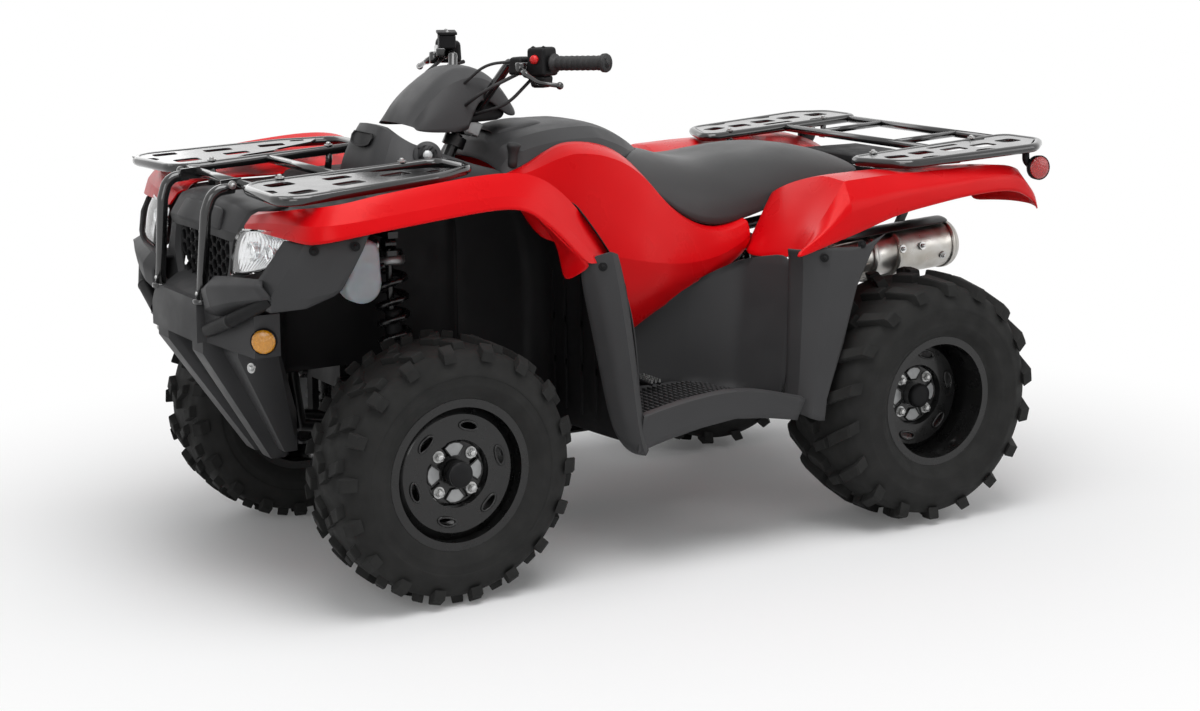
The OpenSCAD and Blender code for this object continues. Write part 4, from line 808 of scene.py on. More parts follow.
cowl_rows = mm([
    # from the middle of the front round to the back of each side, foot first
    [(632, 0, 866), (630, 80, 866), (620, 108, 866), (585, 150, 866), (450, 168, 866), (340, 166, 866)],
    [(629, 0, 905), (627, 76, 903), (612, 104, 900), (578, 146, 898), (450, 165, 893), (345, 163, 880)],
    [(612, 0, 955), (608, 64, 952), (592, 92, 942), (560, 126, 926), (450, 155, 910), (360, 152, 888)],
    [(594, 0, 990), (590, 54, 986), (572, 80, 972), (540, 106, 950), (450, 130, 917), (380, 128, 890)],
    [(574, 0, 986), (570, 50, 982), (556, 70, 966), (530, 84, 946), (460, 92, 915), (400, 90, 890)],
])
on("chassis", panel("front_cowl", cowl_rows, grey_plastic, (0.48, 0, 0.90), 0.004,
                    row_creases={3: 0.8}, col_creases={1: 0.6, 2: 0.75, 3: 0.5}, hem=0.9), "console")
# a bare badge plate, with a raised shield-shaped rim
plate = [(0.045, 0.012), (0.052, 0.002), (0.046, -0.014), (0.028, -0.020), (0, -0.023)]
plate = plate + [(-y, z) for y, z in reversed(plate[:-1])]
slope = Vector((-0.040, 0, 0.085)).normalized()
badge_points = []
for grow, lift in ((1.0, 0.0), (1.0, 0.0035), (0.9, 0.0035), (0.84, 0.0015)):
    for y, up in plate:
        place = Vector((0.6085, 0, 0.958)) + slope * up * grow
        badge_points.append((place.x + lift + 0.001, y * grow, place.z + lift * 0.4))
n = len(plate)
badge_faces = [tuple(range(3 * n, 4 * n))] + walls(n) + walls(n, n) + walls(n, 2 * n)
on("chassis", mesh_object("bare_badge_plate", badge_points, badge_faces, black_plastic, smooth=False))

hood = cuts(
    (524, (0, 986), (40, 985), (70, 984), (88, 982), (92, 977)),
    (512, (0, 1014), (45, 1012), (78, 1004), (96, 992), (101, 974)),
    (488, (0, 1048), (46, 1045), (82, 1032), (103, 1005), (109, 971)),
    (440, (0, 1093), (46, 1089), (83, 1072), (107, 1022), (114, 969)),
    (400, (0, 1110), (45, 1105), (80, 1084), (104, 1030), (112, 970)),
    (365, (0, 1114), (43, 1108), (76, 1088), (90, 1062), (94, 1042)),
    (320, (0, 1104), (40, 1098), (66, 1079), (75, 1054), (76, 1032)),
    (270, (0, 1062), (34, 1056), (53, 1040), (60, 1012), (58, 992)),
    (238, (0, 1016), (24, 1013), (34, 1006), (40, 998), (40, 990)),
)
on("steering", panel("handlebar_hood", hood, grey_plastic, (0.42, 0, 1.00), 0.004,
                     row_creases={0: 0.7, 4: 0.5}, col_creases={1: 0.5, 2: 0.8}, hem=0.9), "handlebar_cover")
core = [[(x, y * 0.84, min(z, 1.09 - abs(x - 0.38) * 0.55) - 0.008) for x, y, z in row[:3]]
        + [(row[3][0], row[3][1] * 0.80, 1.02), (row[3][0], row[3][1] * 0.78, 0.984)] for row in hood[2:-1]]
on("steering", panel("hood_inner_bracket", core, black_plastic, (0.38, 0, 0.98), 0.003))

# ---- The nose ----
# The grey fascia leans back over the grille; cheeks run down between the
# grille and the headlights to the bumper, which carries the brush guard.

fascia_rows = mm([
    [(905, 0, 862), (905, 80, 862), (900, 140, 856), (885, 190, 848), (875, 205, 846)],
    [(955, 0, 862), (955, 80, 861), (948, 140, 855), (935, 190, 850), (925, 207, 846)],
    [(984, 0, 850), (984, 80, 848), (978, 140, 843), (970, 188, 838), (958, 208, 830)],
    [(1006, 0, 800), (1006, 80, 798), (1004, 140, 797), (998, 188, 795), (984, 209, 790)],
    [(1001, 0, 777), (1001, 80, 777), (999, 140, 775), (993, 188, 772), (980, 209, 768)],
    [(982, 0, 774), (982, 80, 774), (982, 140, 773), (978, 180, 770), (970, 200, 766)],
])
on("chassis", panel("nose_fascia", fascia_rows, grey_plastic, (0.90, 0, 0.78), 0.004,
                    row_creases={2: 0.6, 3: 0.8, 4: 0.7}, col_creases={3: 0.75}, hem=0.9), "front_panel")
brow_rows = mm([
    [(992, 0, 842), (992, 85, 841), (989, 108, 838)],
    [(1003, 0, 824), (1003, 90, 823), (999, 114, 820)],
    [(1011, 0, 803), (1011, 95, 802), (1008, 120, 800)],
    [(1009, 0, 796), (1009, 96, 796), (1004, 121, 794)],
])
on("chassis", panel("bare_name_panel", brow_rows, grey_plastic, (0.90, 0, 0.78), 0.005, row_creases={0: 0.6, 2: 0.7},
                    col_creases={2: 0.6}))

cheek_rows = mm([
    [(985, 140, 776), (998, 150, 776), (1000, 176, 778), (984, 208, 780), (940, 211, 782)],
    [(988, 150, 740), (1001, 158, 740), (1003, 180, 742), (990, 210, 748), (945, 213, 750)],
    [(990, 142, 700), (1004, 150, 700), (1006, 180, 704), (998, 214, 712), (950, 218, 715)],
    [(990, 112, 660), (1008, 120, 658), (1012, 175, 662), (1004, 220, 672), (955, 224, 675)],
    [(992, 108, 648), (1012, 116, 646), (1016, 170, 648), (1010, 220, 652), (960, 226, 655)],
])
on("chassis", panel("nose_cheeks", cheek_rows, grey_plastic, (0.90, 0.17, 0.72), 0.004,
                    col_creases={1: 0.7, 2: 0.3, 3: 0.5}))
sill_rows = mm([
    [(975, 0, 678), (975, 100, 678), (975, 150, 690)],
    [(1004, 0, 664), (1004, 100, 664), (1002, 135, 672)],
    [(1046, 0, 650), (1046, 90, 650), (1044, 118, 652)],
    [(1050, 0, 642), (1050, 90, 642), (1048, 118, 644)],
])
on("chassis", panel("grille_sill", sill_rows, grey_plastic, (0.98, 0, 0.60), 0.004, row_creases={1: 0.5, 2: 0.7}))

# the honeycomb: hexagonal cells of thick plastic, in a flat field
comb_tree, given = new_tree("honeycomb", {"Cell Radius": "Float", "Rim": "Float", "Depth": "Float"})
cell = add(comb_tree, "GeometryNodeCurvePrimitiveCircle", {"Resolution": 6, "Radius": given["Cell Radius"]})
section = add(comb_tree, "GeometryNodeCurvePrimitiveQuadrilateral", {"Width": given["Rim"], "Height": given["Depth"]})
section = add(comb_tree, "GeometryNodeFilletCurve", {"Curve": section.outputs[0], "Radius": 0.0012}, mode="BEZIER")
wall = add(comb_tree, "GeometryNodeCurveToMesh", {"Curve": cell.outputs[0], "Profile Curve": section.outputs[0]})
stood = add(comb_tree, "GeometryNodeTransform", {"Geometry": wall.outputs[0], "Rotation": (0, math.pi / 2, 0)})
field = add(comb_tree, "GeometryNodeInstanceOnPoints", {"Points": given["Geometry"], "Instance": stood.outputs[0]})
end_tree(comb_tree, given, field.outputs[0])
cell_r = 0.0165
cells = []
for row in range(5):
    for col in range(-5, 6):
        y, z = col * cell_r * 1.5, 0.682 + row * cell_r * math.sqrt(3) + (col % 2) * cell_r * math.sqrt(3) / 2
        edge = 0.148 if z > 0.70 else 0.125
        if abs(y) < edge - 0.012 and z < 0.772:
            cells.append((0.986, y, z))
comb = grown("honeycomb_grille", comb_tree, (cells, []), black_plastic, "chassis",
             **{"Cell Radius": cell_r, "Rim": 0.0052, "Depth": 0.010})
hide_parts("grille")

# ---- The bumper, the lamps and the brush guard ----
# The bumper is one grained moulding with its rounded corners; the headlights
# sit behind it under the fenders, and steel tubes guard the grille.


def softened(name, node, material, radius, angle=30):
    """A CAD node as a moulding, with its edges rounded."""
    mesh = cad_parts[node].data.copy()
    mesh.name = name
    work = bmesh.new()
    work.from_mesh(mesh)
    bmesh.ops.remove_doubles(work, verts=work.verts, dist=2e-5)
    bmesh.ops.dissolve_limit(work, angle_limit=math.radians(2), verts=work.verts, edges=work.edges)
    work.to_mesh(mesh)
    work.free()
    mesh.materials.clear()
    mesh.materials.append(material)
    piece = in_scene(name, mesh)
    rounding = piece.modifiers.new("rounded_edges", "BEVEL")
    rounding.width = radius
    rounding.segments = 3
    rounding.angle_limit = math.radians(angle)
    rounding.harden_normals = True
    mesh.shade_smooth()
    return on("chassis", piece, node)


softened("bumper_moulding", "front_bumper", grey_plastic, 0.006)
wing_rows = mm([
    [(985, 165, 700), (990, 225, 708), (990, 290, 712), (985, 345, 712)],
    [(1032, 145, 704), (1046, 188, 712), (1038, 265, 720), (1010, 350, 724)],
    [(1060, 138, 676), (1070, 182, 688), (1058, 268, 702), (1022, 368, 712)],
    [(1056, 144, 634), (1062, 188, 646), (1050, 272, 670), (1010, 378, 690)],
    [(1034, 150, 612), (1038, 190, 624), (1026, 268, 650), (994, 366, 674)],
    [(985, 165, 604), (985, 200, 612), (978, 262, 634), (960, 340, 655)],
])
on("chassis", panel("bumper_wings", wing_rows, grey_plastic, (0.98, 0.25, 0.66), 0.005,
                    row_creases={1: 0.7, 2: 0.4, 3: 0.75, 4: 0.6}, col_creases={1: 0.75}, hem=1.0, corners=True))
finish_node(black_plastic, "bumper_bar", "skid_plate", "radiator")
bolts("bumper_bolts", [((1.004, s * 0.262, 0.523), (0.9, s * 0.42, 0.05)) for s in (1, -1)], zinc, "chassis",
      0.0075, 0.005, 0.011)


def filleted(points, radius, steps=6):
    """A path with its inner corners rounded to a radius."""
    path = [Vector(p) for p in points]
    out = [path[0]]
    for before, corner, after in zip(path, path[1:], path[2:]):
        u, v = (before - corner).normalized(), (after - corner).normalized()
        half = u.angle(v, math.pi) / 2
        if half > math.radians(89):
            out.append(corner)
            continue
        reach = min(radius / math.tan(half), (before - corner).length * 0.48, (after - corner).length * 0.48)
        middle = corner + (u + v).normalized() * reach / math.cos(half)
        start, end = corner + u * reach, corner + v * reach
        for k in range(steps + 1):
            t = k / steps
            arm = (start - middle).lerp(end - middle, t).normalized() * (start - middle).length
            out.append(middle + arm)
    return out + [path[-1]]


def on_line(start, way, *distances):
    """Points at distances along a line from its start."""
    return [Vector(start) + Vector(way) * distance for distance in distances]


def swept(path, radius, sides=14, closed=False):
    """(points, faces) of a round tube along a path, with its ends closed; radius may be one per point."""
    path = [Vector(p) for p in path]
    radii = radius if hasattr(radius, "__len__") else [radius] * len(path)
    n = len(path)
    if closed:
        along = [(path[(i + 1) % n] - path[i - 1]).normalized() for i in range(n)]
    else:
        along = [(path[min(i + 1, n - 1)] - path[max(i - 1, 0)]).normalized() for i in range(n)]
    side = along[0].orthogonal().normalized()
    points, faces = [], []
    for i in range(n):
        side = (side - along[i] * side.dot(along[i])).normalized()
        other = along[i].cross(side)
        for k in range(sides):
            angle = 2 * math.pi * k / sides
            points.append(path[i] + (side * math.cos(angle) + other * math.sin(angle)) * radii[i])
    for i in range(n if closed else n - 1):
        a, b = i * sides, (i + 1) % n * sides
        faces += [(a + k, a + (k + 1) % sides, b + (k + 1) % sides, b + k) for k in range(sides)]
    if not closed:
        faces += [tuple(reversed(range(sides))), tuple(range((n - 1) * sides, n * sides))]
    return points, faces


# Gloss black enamel on steel tube: near black, sharp highlights, faint runs
tube_paint = surfaced("gloss_black_tube_enamel", "#0D0D0E", 0.14, ("#0C0C0C", "#171718", 50), (0.1, 0.2, 40),
                      (6.0, 0.05), extra={"Coat Weight": 0.6, "Coat Roughness": 0.08})
finish_node(tube_paint, "handlebar", "left_tie_rod", "right_tie_rod")
side_names = {1: "left", -1: "right"}
full_circle = np.linspace(0, 2 * math.pi, 25)[:-1]
guards = [swept(filleted([(1.0525, s * 0.119, 0.652), (1.0375, s * 0.125, 0.836), (1.022, s * 0.129, 0.880),
                          (0.976, s * 0.130, 0.8845)], 0.05, 8), 0.0122, 18) for s in (1, -1)]
guards += [swept([(1.0535, s * 0.119, 0.642), (1.0530, s * 0.119, 0.650), (1.0528, s * 0.119, 0.651)],
                 [0.018, 0.018, 0.013], 18)
           for s in (1, -1)]
on("chassis", mesh_object("brush_guard_tubes", *joined(guards), tube_paint), "brush_guard")
bolts("brush_guard_bolts", [((0.985, s * 0.147, 0.893), (0, s, 0)) for s in (1, -1)]
      + [((1.058, s * 0.119, 0.664), (1, 0, 0.1)) for s in (1, -1)], zinc, "chassis", 0.006, 0.005, 0.009)

# Vacuum metallised reflector: bright mirror, pressed into small flutes about 9 mm wide
reflector, tree, shader = new_material("metallised_reflector", "#E6E8EA", 0.12, 1.0)
tint(tree, shader, "#DADCDE", "#F0F1F2", 15)
rough_range(tree, shader, 0.08, 0.2, 12)
flutes = add(tree, "ShaderNodeTexWave", {"Vector": surface_point(tree, 30), "Scale": 1.0, "Distortion": 0.6},
             bands_direction="Y")
ridge = add(tree, "ShaderNodeBump", {"Height": flutes.outputs["Fac"], "Distance": 0.0012, "Strength": 0.8})
tree.links.new(ridge.outputs["Normal"], shader.inputs["Normal"])

# Clear polycarbonate: polished, with faint moulded lines
clear_lens, tree, shader = new_material("clear_polycarbonate", "#FFFFFF", 0.03)
shader.inputs["IOR"].default_value = 1.58
shader.inputs["Transmission Weight"].default_value = 1.0
grain_bump(tree, shader, 22.0, 0.05)
rough_range(tree, shader, 0.02, 0.06, 30)

lens_rows = mm([
    [(1000, 212, 810), (994, 275, 816), (980, 338, 820), (948, 392, 820)],
    [(1014, 214, 784), (1010, 278, 790), (996, 342, 796), (958, 394, 800)],
    [(1022, 216, 752), (1018, 278, 758), (1004, 340, 768), (968, 388, 780)],
    [(1026, 218, 716), (1022, 276, 722), (1010, 330, 736), (980, 376, 756)],
])
lens = panel("headlight_lenses", lens_rows, clear_lens, (0.90, 0.30, 0.77), 0.003, hem=1.0, corners=True)
on("chassis", lens, "headlights")


def set_back(rows, back, shrink):
    """The same rows drawn in round their middle and moved back."""
    middle = np.mean([p for row in rows for p in row], axis=0)
    return [[tuple(middle + (np.array(p) - middle) * shrink - (back, 0, 0)) for p in row] for row in rows]


bowl_rows = [[tuple(np.array(p) + (0.020 if edge else -0.012, 0, 0))
              for p, edge in zip(row, (True, False, False, True))]
             if 0 < i < 3 else [tuple(np.array(p) + (0.018, 0, 0)) for p in row]
             for i, row in enumerate(set_back(lens_rows, 0.034, 0.93))]
on("chassis", panel("headlight_reflectors", bowl_rows, reflector, (1.10, 0.30, 0.77), 0.002,
                    row_creases={1: 0.6}, col_creases={1: 0.7, 2: 0.6}))
for s in (1, -1):
    parts = []
    for y, x in ((0.255, 0.992), (0.315, 0.978)):
        ring = [(x, s * y + 0.017 * math.cos(a), 0.767 + 0.017 * math.sin(a)) for a in full_circle]
        parts.append(swept(ring, 0.0035, 8, closed=True))
        parts.append(swept([(x - 0.012, s * y, 0.767), (x - 0.002, s * y, 0.767), (x + 0.002, s * y, 0.767)],
                           [0.013, 0.012, 0.004], 16))
    on("chassis", mesh_object("headlight_bulb_rings_" + side_names[s], *joined(parts), reflector))
# Prismatic acrylic: amber or red, with a hexagon prism pattern of about 3 mm
for lens_name, hex_low, hex_high, node in [
    ("amber_prismatic_acrylic", "#C8800A", "#E8A020", "amber_reflectors"),
    ("red_prismatic_acrylic", "#A01010", "#C81A18", "tail_reflectors"),
]:
    prism, tree, shader = new_material(lens_name, hex_high, 0.18)
    tint(tree, shader, hex_low, hex_high, 6)
    shader.inputs["Coat Weight"].default_value = 0.7
    shader.inputs["Coat Roughness"].default_value = 0.05
    grain_bump(tree, shader, 5.0, 1.2, "ShaderNodeTexVoronoi")
    low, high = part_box(node)
    centre_x, centre_z = (low.x + high.x) / 2, (low.z + high.z) / 2
    radius = (high.z - low.z) / 2
    if node == "amber_reflectors":
        place, aim = Vector((centre_x + 0.012, 0.308, centre_z)), Vector((0.55, 0.83, 0.0))
    else:
        place, aim = Vector((-0.998, 0.470, centre_z)), Vector((0.15, 0.98, 0.05))
    for s in (1, -1):
        spot, way = Vector((place.x, s * place.y, place.z)), Vector((aim.x, s * aim.y, aim.z)).normalized()
        lens_path = on_line(spot, way, -0.008, -0.002, 0.003, 0.006, 0.0075)
        disc = mesh_object(node[:-1] + "_" + side_names[s],
                           *swept(lens_path, [radius * k for k in (0.93, 0.95, 0.92, 0.7, 0.1)], 40), prism)
        on("chassis", disc, *([node] if s > 0 else []))
        cup = on_line(spot, way, -0.012, -0.011, 0.002, 0.002, -0.003)
        on("chassis", mesh_object(node[:-1] + "_cup_" + side_names[s],
                                  *swept(cup, [radius * k for k in (0.8, 1.0, 1.03, 0.95, 0.9)], 40), black_plastic))
# stalks that carry the tail reflectors under the rack
parts = []
for s in (1, -1):
    parts.append(swept(filleted([(-0.992, s * 0.45, 0.834), (-0.972, s * 0.45, 0.850), (-0.968, s * 0.452, 0.884)],
                                0.02), 0.009, 10))
on("chassis", mesh_object("tail_reflector_stalks", *joined(parts), black_plastic))

# ---- The racks ----
# Bent steel tube, with stamped plates welded on each side whose holes take
# straps. Both racks rise a little to the back, on legs bolted to the frame.

rack_slope = math.radians(3.2)


def tipped(place, front_x, front_z):
    """A point of a rack, tipped about the rack's front edge as the rack is."""
    x, y, z = place
    back, up = x - front_x, z - front_z
    return Vector((front_x + back * math.cos(rack_slope) + up * math.sin(rack_slope), y,
                   front_z - back * math.sin(rack_slope) + up * math.cos(rack_slope)))


def rounded_outline(corners, radius):
    """A closed outline with its corners rounded, in the plane."""
    n = len(corners)
    out = []
    for i in range(n):
        before, corner, after = (Vector((*corners[(i + k) % n], 0)) for k in (-1, 0, 1))
        arc = filleted([corner.lerp(before, 0.5), corner, corner.lerp(after, 0.5)], radius, 4)
        out += [(p.x, p.y) for p in arc[1:-1]]
    return out


def slotted(centre, length, width, turn):
    """A rounded hole of a plate: its outline."""
    x, y = centre
    box = [(-length / 2, -width / 2), (length / 2, -width / 2), (length / 2, width / 2), (-length / 2, width / 2)]
    c, s = math.cos(turn), math.sin(turn)
    return rounded_outline([(x + u * c - v * s, y + u * s + v * c) for u, v in box], min(length, width) * 0.35)


def stamped(name, outlines, thickness, place, material):
    """A stamped plate from its outline and its holes, put in place point by point."""
    drawn = bpy.data.curves.new(name, "CURVE")
    drawn.dimensions = "2D"
    drawn.fill_mode = "BOTH"
    drawn.extrude = thickness / 2
    drawn.bevel_depth = 0.0006
    for outline in outlines:
        spline = drawn.splines.new("POLY")
        spline.points.add(len(outline) - 1)
        for point, (x, y) in zip(spline.points, outline):
            point.co = (x, y, 0, 1)
        spline.use_cyclic_u = True
    holder = in_scene(name, drawn)
    flat = bpy.data.meshes.new_from_object(holder.evaluated_get(bpy.context.evaluated_depsgraph_get()))
    bpy.data.objects.remove(holder)
    points = [place(v.co) for v in flat.vertices]
    faces = [tuple(p.vertices) for p in flat.polygons]
    return mesh_object(name, points, faces, material, smooth=False)


# Black textured paint on the plates: semi-gloss, rubbed by loads so that it mirrors the sky in streaks
plate_paint = surfaced("semi_gloss_black_plate_paint", "#1B1B1C", 0.2, ("#161617", "#252526", 80), (0.14, 0.28, 60),
                       (2.2, 0.03), extra={"Coat Weight": 0.8, "Coat Roughness": 0.12})

front_start, rear_start = (0.980, 0.890), (-0.5335, 0.862)  # x and z of each rack's front edge
front_loop = mm([(980, 187), (998, 443), (636, 393), (516, 333), (516, 187)])
rear_loop = mm([(-533.5, 300), (-593.5, 453.5), (-967.5, 484), (-1037.5, 424), (-1037.5, 300)])
front_plate = mm([(985, 205), (990, 300), (966, 318), (968, 350), (994, 362), (994, 432), (900, 428), (880, 408),
                  (850, 404), (836, 420), (742, 408), (722, 388), (692, 384), (676, 398), (628, 388), (560, 352),
                  (600, 300), (700, 262), (720, 240), (800, 226), (830, 200), (905, 196)])
front_holes = [slotted((x, y), length, width, turn) for x, y, length, width, turn in (
    (0.925, 0.255, 0.060, 0.052, 0.05), (0.930, 0.384, 0.056, 0.044, 0.12), (0.812, 0.352, 0.066, 0.044, 0.12),
    (0.800, 0.269, 0.060, 0.040, 0.05), (0.690, 0.322, 0.062, 0.046, 0.2), (0.614, 0.346, 0.034, 0.024, 0.4))]
rear_plate = mm([(-545, 306), (-600, 442), (-640, 446), (-660, 430), (-690, 432), (-706, 450), (-800, 458),
                 (-820, 440), (-850, 442), (-866, 464), (-962, 474), (-1028, 418), (-1028, 310), (-960, 312),
                 (-945, 330), (-905, 330), (-890, 312), (-700, 308)])
rear_holes = [slotted((x, y), length, width, turn) for x, y, length, width, turn in (
    (-0.620, 0.380, 0.056, 0.042, -0.3), (-0.700, 0.375, 0.058, 0.048, 0.0), (-0.790, 0.392, 0.064, 0.048, 0.0),
    (-0.880, 0.396, 0.060, 0.048, 0.0), (-0.968, 0.388, 0.056, 0.052, 0.0), (-0.800, 0.336, 0.090, 0.022, 0.0))]
for end, loop, start, outlines, rail, bars, leg_backs in [
    ("front", front_loop, front_start, [rounded_outline(front_plate, 0.010)] + front_holes, 0.187, (0.954, 0.758),
     ((0.086, 0.846), (0.374, 0.866))),
    ("rear", rear_loop, rear_start, [rounded_outline(rear_plate, 0.012)] + rear_holes, 0.300,
     (-1.0115, -0.7985), ((0.08, 0.842), (0.394, 0.842))),
]:
    tubes = []
    for s in (1, -1):
        ring = [tipped((x, s * y, start[1]), *start) for x, y in rounded_outline(loop, 0.055)]
        tubes.append(swept(ring, 0.011, 14, closed=True))
        for back, foot in leg_backs:
            top = tipped((start[0] - back, s * rail, start[1]), *start)
            tubes.append(swept(filleted([top, (top.x, top.y, (top.z + foot) / 2), (top.x + 0.004, top.y, foot)],
                                        0.01), 0.008, 10))
    for x in bars:
        tubes.append(swept([tipped((x, y, start[1] - 0.001), *start) for y in (-rail, rail)], 0.0098, 14))
    if end == "rear":
        for s in (1, -1):
            tubes.append(swept([tipped((x, s * 0.150, start[1]), *start) for x in bars], 0.008, 12))
    racks = mesh_object(end + "_rack_tubes", *joined(tubes), tube_paint)
    on("chassis", racks, end + "_rack")
    for s in (1, -1):
        on("chassis", stamped(end + "_rack_plate_" + side_names[s], outlines, 0.003,
                              lambda p: tipped((p.x, s * p.y, start[1] + 0.0065 + p.z), *start), plate_paint))
lugs = []
for s in (1, -1):
    ring = [(x, s * y, z) for y in (0.112, 0.117) for x, z in ((0.952, 0.878), (0.998, 0.876), (0.998, 0.900),
                                                               (0.952, 0.903))]
    lugs.append((ring, [(0, 1, 2, 3), (7, 6, 5, 4), (0, 4, 5, 1), (1, 5, 6, 2), (2, 6, 7, 3), (3, 7, 4, 0)]))
on("chassis", mesh_object("brush_guard_lugs", *joined(lugs), tube_paint, smooth=False))
leg_tops = [(0.894, 0.187, 0.902, front_start), (0.606, 0.187, 0.902, front_start),
            (-0.6135, 0.300, 0.874, rear_start), (-0.9275, 0.300, 0.874, rear_start)]
bolts("rack_bolts", [(tipped((x, s * y, z), *start), (0.05, 0, 1)) for x, y, z, start in leg_tops for s in (1, -1)],
      zinc, "chassis", 0.006, 0.005, 0.010)

# ---- Liners, decks and the parts below ----
# Black polypropylene: the liners behind the front wheels, the deck between
# the fenders, the cover behind the seat, and the skid plate.

deck_rows = []
for x, z in mm([(905, 846), (880, 848), (850, 850), (720, 850), (690, 852), (660, 866), (560, 868), (420, 868),
                (350, 860)]):
    pad = 0.006 if 0.70 < x < 0.86 else 0.0  # a raised tray amidships
    deck_rows.append([(x, 0, z + pad), (x, 0.085, z + pad), (x, 0.098, z), (x, 0.165, z), (x, 0.180, z - 0.004),
                      (x, 0.300, z - 0.006)])
on("chassis", panel("front_deck_tray", deck_rows, black_plastic, (0.6, 0, 0.70), 0.004,
                    row_creases={1: 0.7, 2: 0.7, 3: 0.7, 4: 0.7, 5: 0.6}, col_creases={1: 0.7, 2: 0.7}),
   "front_deck")
# side walls that close the bay between the wheels behind the shock absorbers
wall_rows = []
for z in (0.845, 0.80, 0.70, 0.60, 0.52, 0.47):
    wall_rows.append([(x, y, z) for x, y in ((0.895, 0.160), (0.860, 0.118), (0.700, 0.112), (0.560, 0.112),
                                             (0.470, 0.120), (0.452, 0.140))])
on("chassis", panel("bay_side_walls", wall_rows, black_plastic, (0.66, 0, 0.66), 0.003, col_creases={1: 0.5, 4: 0.5}))
softened("rear_tail_cover", "rear_cover", black_plastic, 0.006)
liner_rows = []
for z, x0, x1, y0 in mm([(300, 452, 225, 138), (400, 448, 232, 138), (520, 450, 236, 138), (660, 450, 240, 138),
                         (760, 455, 262, 150), (840, 500, 330, 200)]):
    liner_rows.append([(x0, y0, z), (x0 - 0.10, y0 + 0.002, z), (x1 + 0.03, y0 + 0.006, z),
                       (x1 + 0.002, y0 + 0.045, z),
                       (x1, 0.300, z), (x1 - 0.012, 0.430, z), (x1 - 0.020 if z < 0.70 else x1 + 0.02, 0.492, z)])
on("chassis", panel("arch_liner_shells", liner_rows, black_plastic, (0.10, 0.05, 0.50), 0.003,
                    row_creases={3: 0.3}, col_creases={2: 0.4, 3: 0.4}), "arch_liners")
# pressed ribs that stiffen each liner
ribs = []
for y in (0.215, 0.265, 0.335, 0.395):
    for s in (1, -1):
        ribs += [(0.238 + (z - 0.33) * 0.02, s * y, z) for z in (0.40, 0.50, 0.60)]
grown("arch_liner_ribs", rib_tree, (ribs, []), black_plastic, "chassis", Size=(0.006, 0.006, 0.115))

# ---- Shock absorbers, bottle and engine bay ----
# Each shock absorber is a gas damper inside a wound spring; the overflow
# bottle is blow moulded, and the engine is a finned casting.


def spring_between(name, foot, top, radius, wire, turns, material):
    """A coil spring between two points, its turns a little wider apart near its ends."""
    foot, top = Vector(foot), Vector(top)
    axis = (top - foot).normalized()
    side = axis.orthogonal().normalized()
    other = axis.cross(side)
    path = []
    for k in range(turns * 20 + 1):
        t = k / (turns * 20)
        angle = 2 * math.pi * turns * t
        height = t + 0.012 * math.sin(2 * math.pi * t)
        path.append(foot + (top - foot) * height + (side * math.cos(angle) + other * math.sin(angle)) * radius)
    return on("chassis", mesh_object(name, *swept(path, wire, 8), material))


# Spring steel with a thick gloss powder coat
spring_paint = surfaced("gloss_black_spring_coat", "#0E0E0F", 0.22, ("#0B0B0C", "#161617", 20), (0.18, 0.34, 15),
                        (3.0, 0.05))
finish_node(spring_paint, "shock_dampers")
for shock, foot, top in [("left_shock", (0.6335, 0.2146, 0.297), (0.6335, 0.1665, 0.7415)),
                         ("right_shock", (0.6335, -0.2146, 0.297), (0.6335, -0.1665, 0.7415)),
                         ("rear_shock", (-0.6235, 0, 0.395), (-0.345, 0, 0.664))]:
    a, b = Vector(foot), Vector(top)
    axis = (b - a).normalized()
    coil = spring_between(shock + "_coil", a + axis * 0.045, b - axis * 0.045, 0.031, 0.0076, 9, spring_paint)
    rings = [swept(on_line(b, axis, -0.046, -0.041, -0.028, -0.026), [0.030, 0.034, 0.034, 0.028], 28),
             swept(on_line(a, axis, 0.026, 0.028, 0.040, 0.046), [0.028, 0.035, 0.035, 0.030], 28)]
    on("chassis", mesh_object(shock + "_seats", *joined(rings), cast_alloy))
    folds = swept(on_line(a, axis, *(0.17 + 0.012 * k for k in range(12))), [0.0175, 0.0205] * 6, 20)
    on("chassis", mesh_object(shock + "_boot", *folds, black_plastic))
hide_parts("shock_springs")
bolts("shock_bolts", [((0.665, s * 0.1665, 0.7415), (1, 0, 0)) for s in (1, -1)]
      + [((0.665, s * 0.2146, 0.285), (1, 0, 0)) for s in (1, -1)], zinc, "chassis", 0.009, 0.008, 0.014)

# Blow moulded polyethylene: cloudy and blue-grey, with faint level lines 20 mm apart
cloudy, tree, shader = new_material("cloudy_polyethylene", "#B9C4CA", 0.4)
shader.inputs["Subsurface Weight"].default_value = 0.35
shader.inputs["Subsurface Scale"].default_value = 0.02
tint(tree, shader, "#A9B5BC", "#C8D1D6", 50)
rough_range(tree, shader, 0.34, 0.48, 30)
levels = add(tree, "ShaderNodeTexWave", {"Vector": surface_point(tree, 125), "Scale": 1.0}, bands_direction="Z")
ridge = add(tree, "ShaderNodeBump", {"Height": levels.outputs["Fac"], "Distance": 0.0015})
tree.links.new(ridge.outputs["Normal"], shader.inputs["Normal"])
softened("overflow_bottle", "coolant_bottle", cloudy, 0.012, angle=40)
bottle_low, bottle_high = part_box("coolant_bottle")
neck = Vector(((bottle_low.x + bottle_high.x) / 2 - 0.006, (bottle_low.y + bottle_high.y) / 2, bottle_high.z))
cap = swept(on_line(neck, (0, 0, 1), -0.012, 0.004, 0.005, 0.012, 0.013), [0.016, 0.016, 0.019, 0.019, 0.012], 24)
on("chassis", mesh_object("overflow_bottle_cap", *cap, black_plastic))

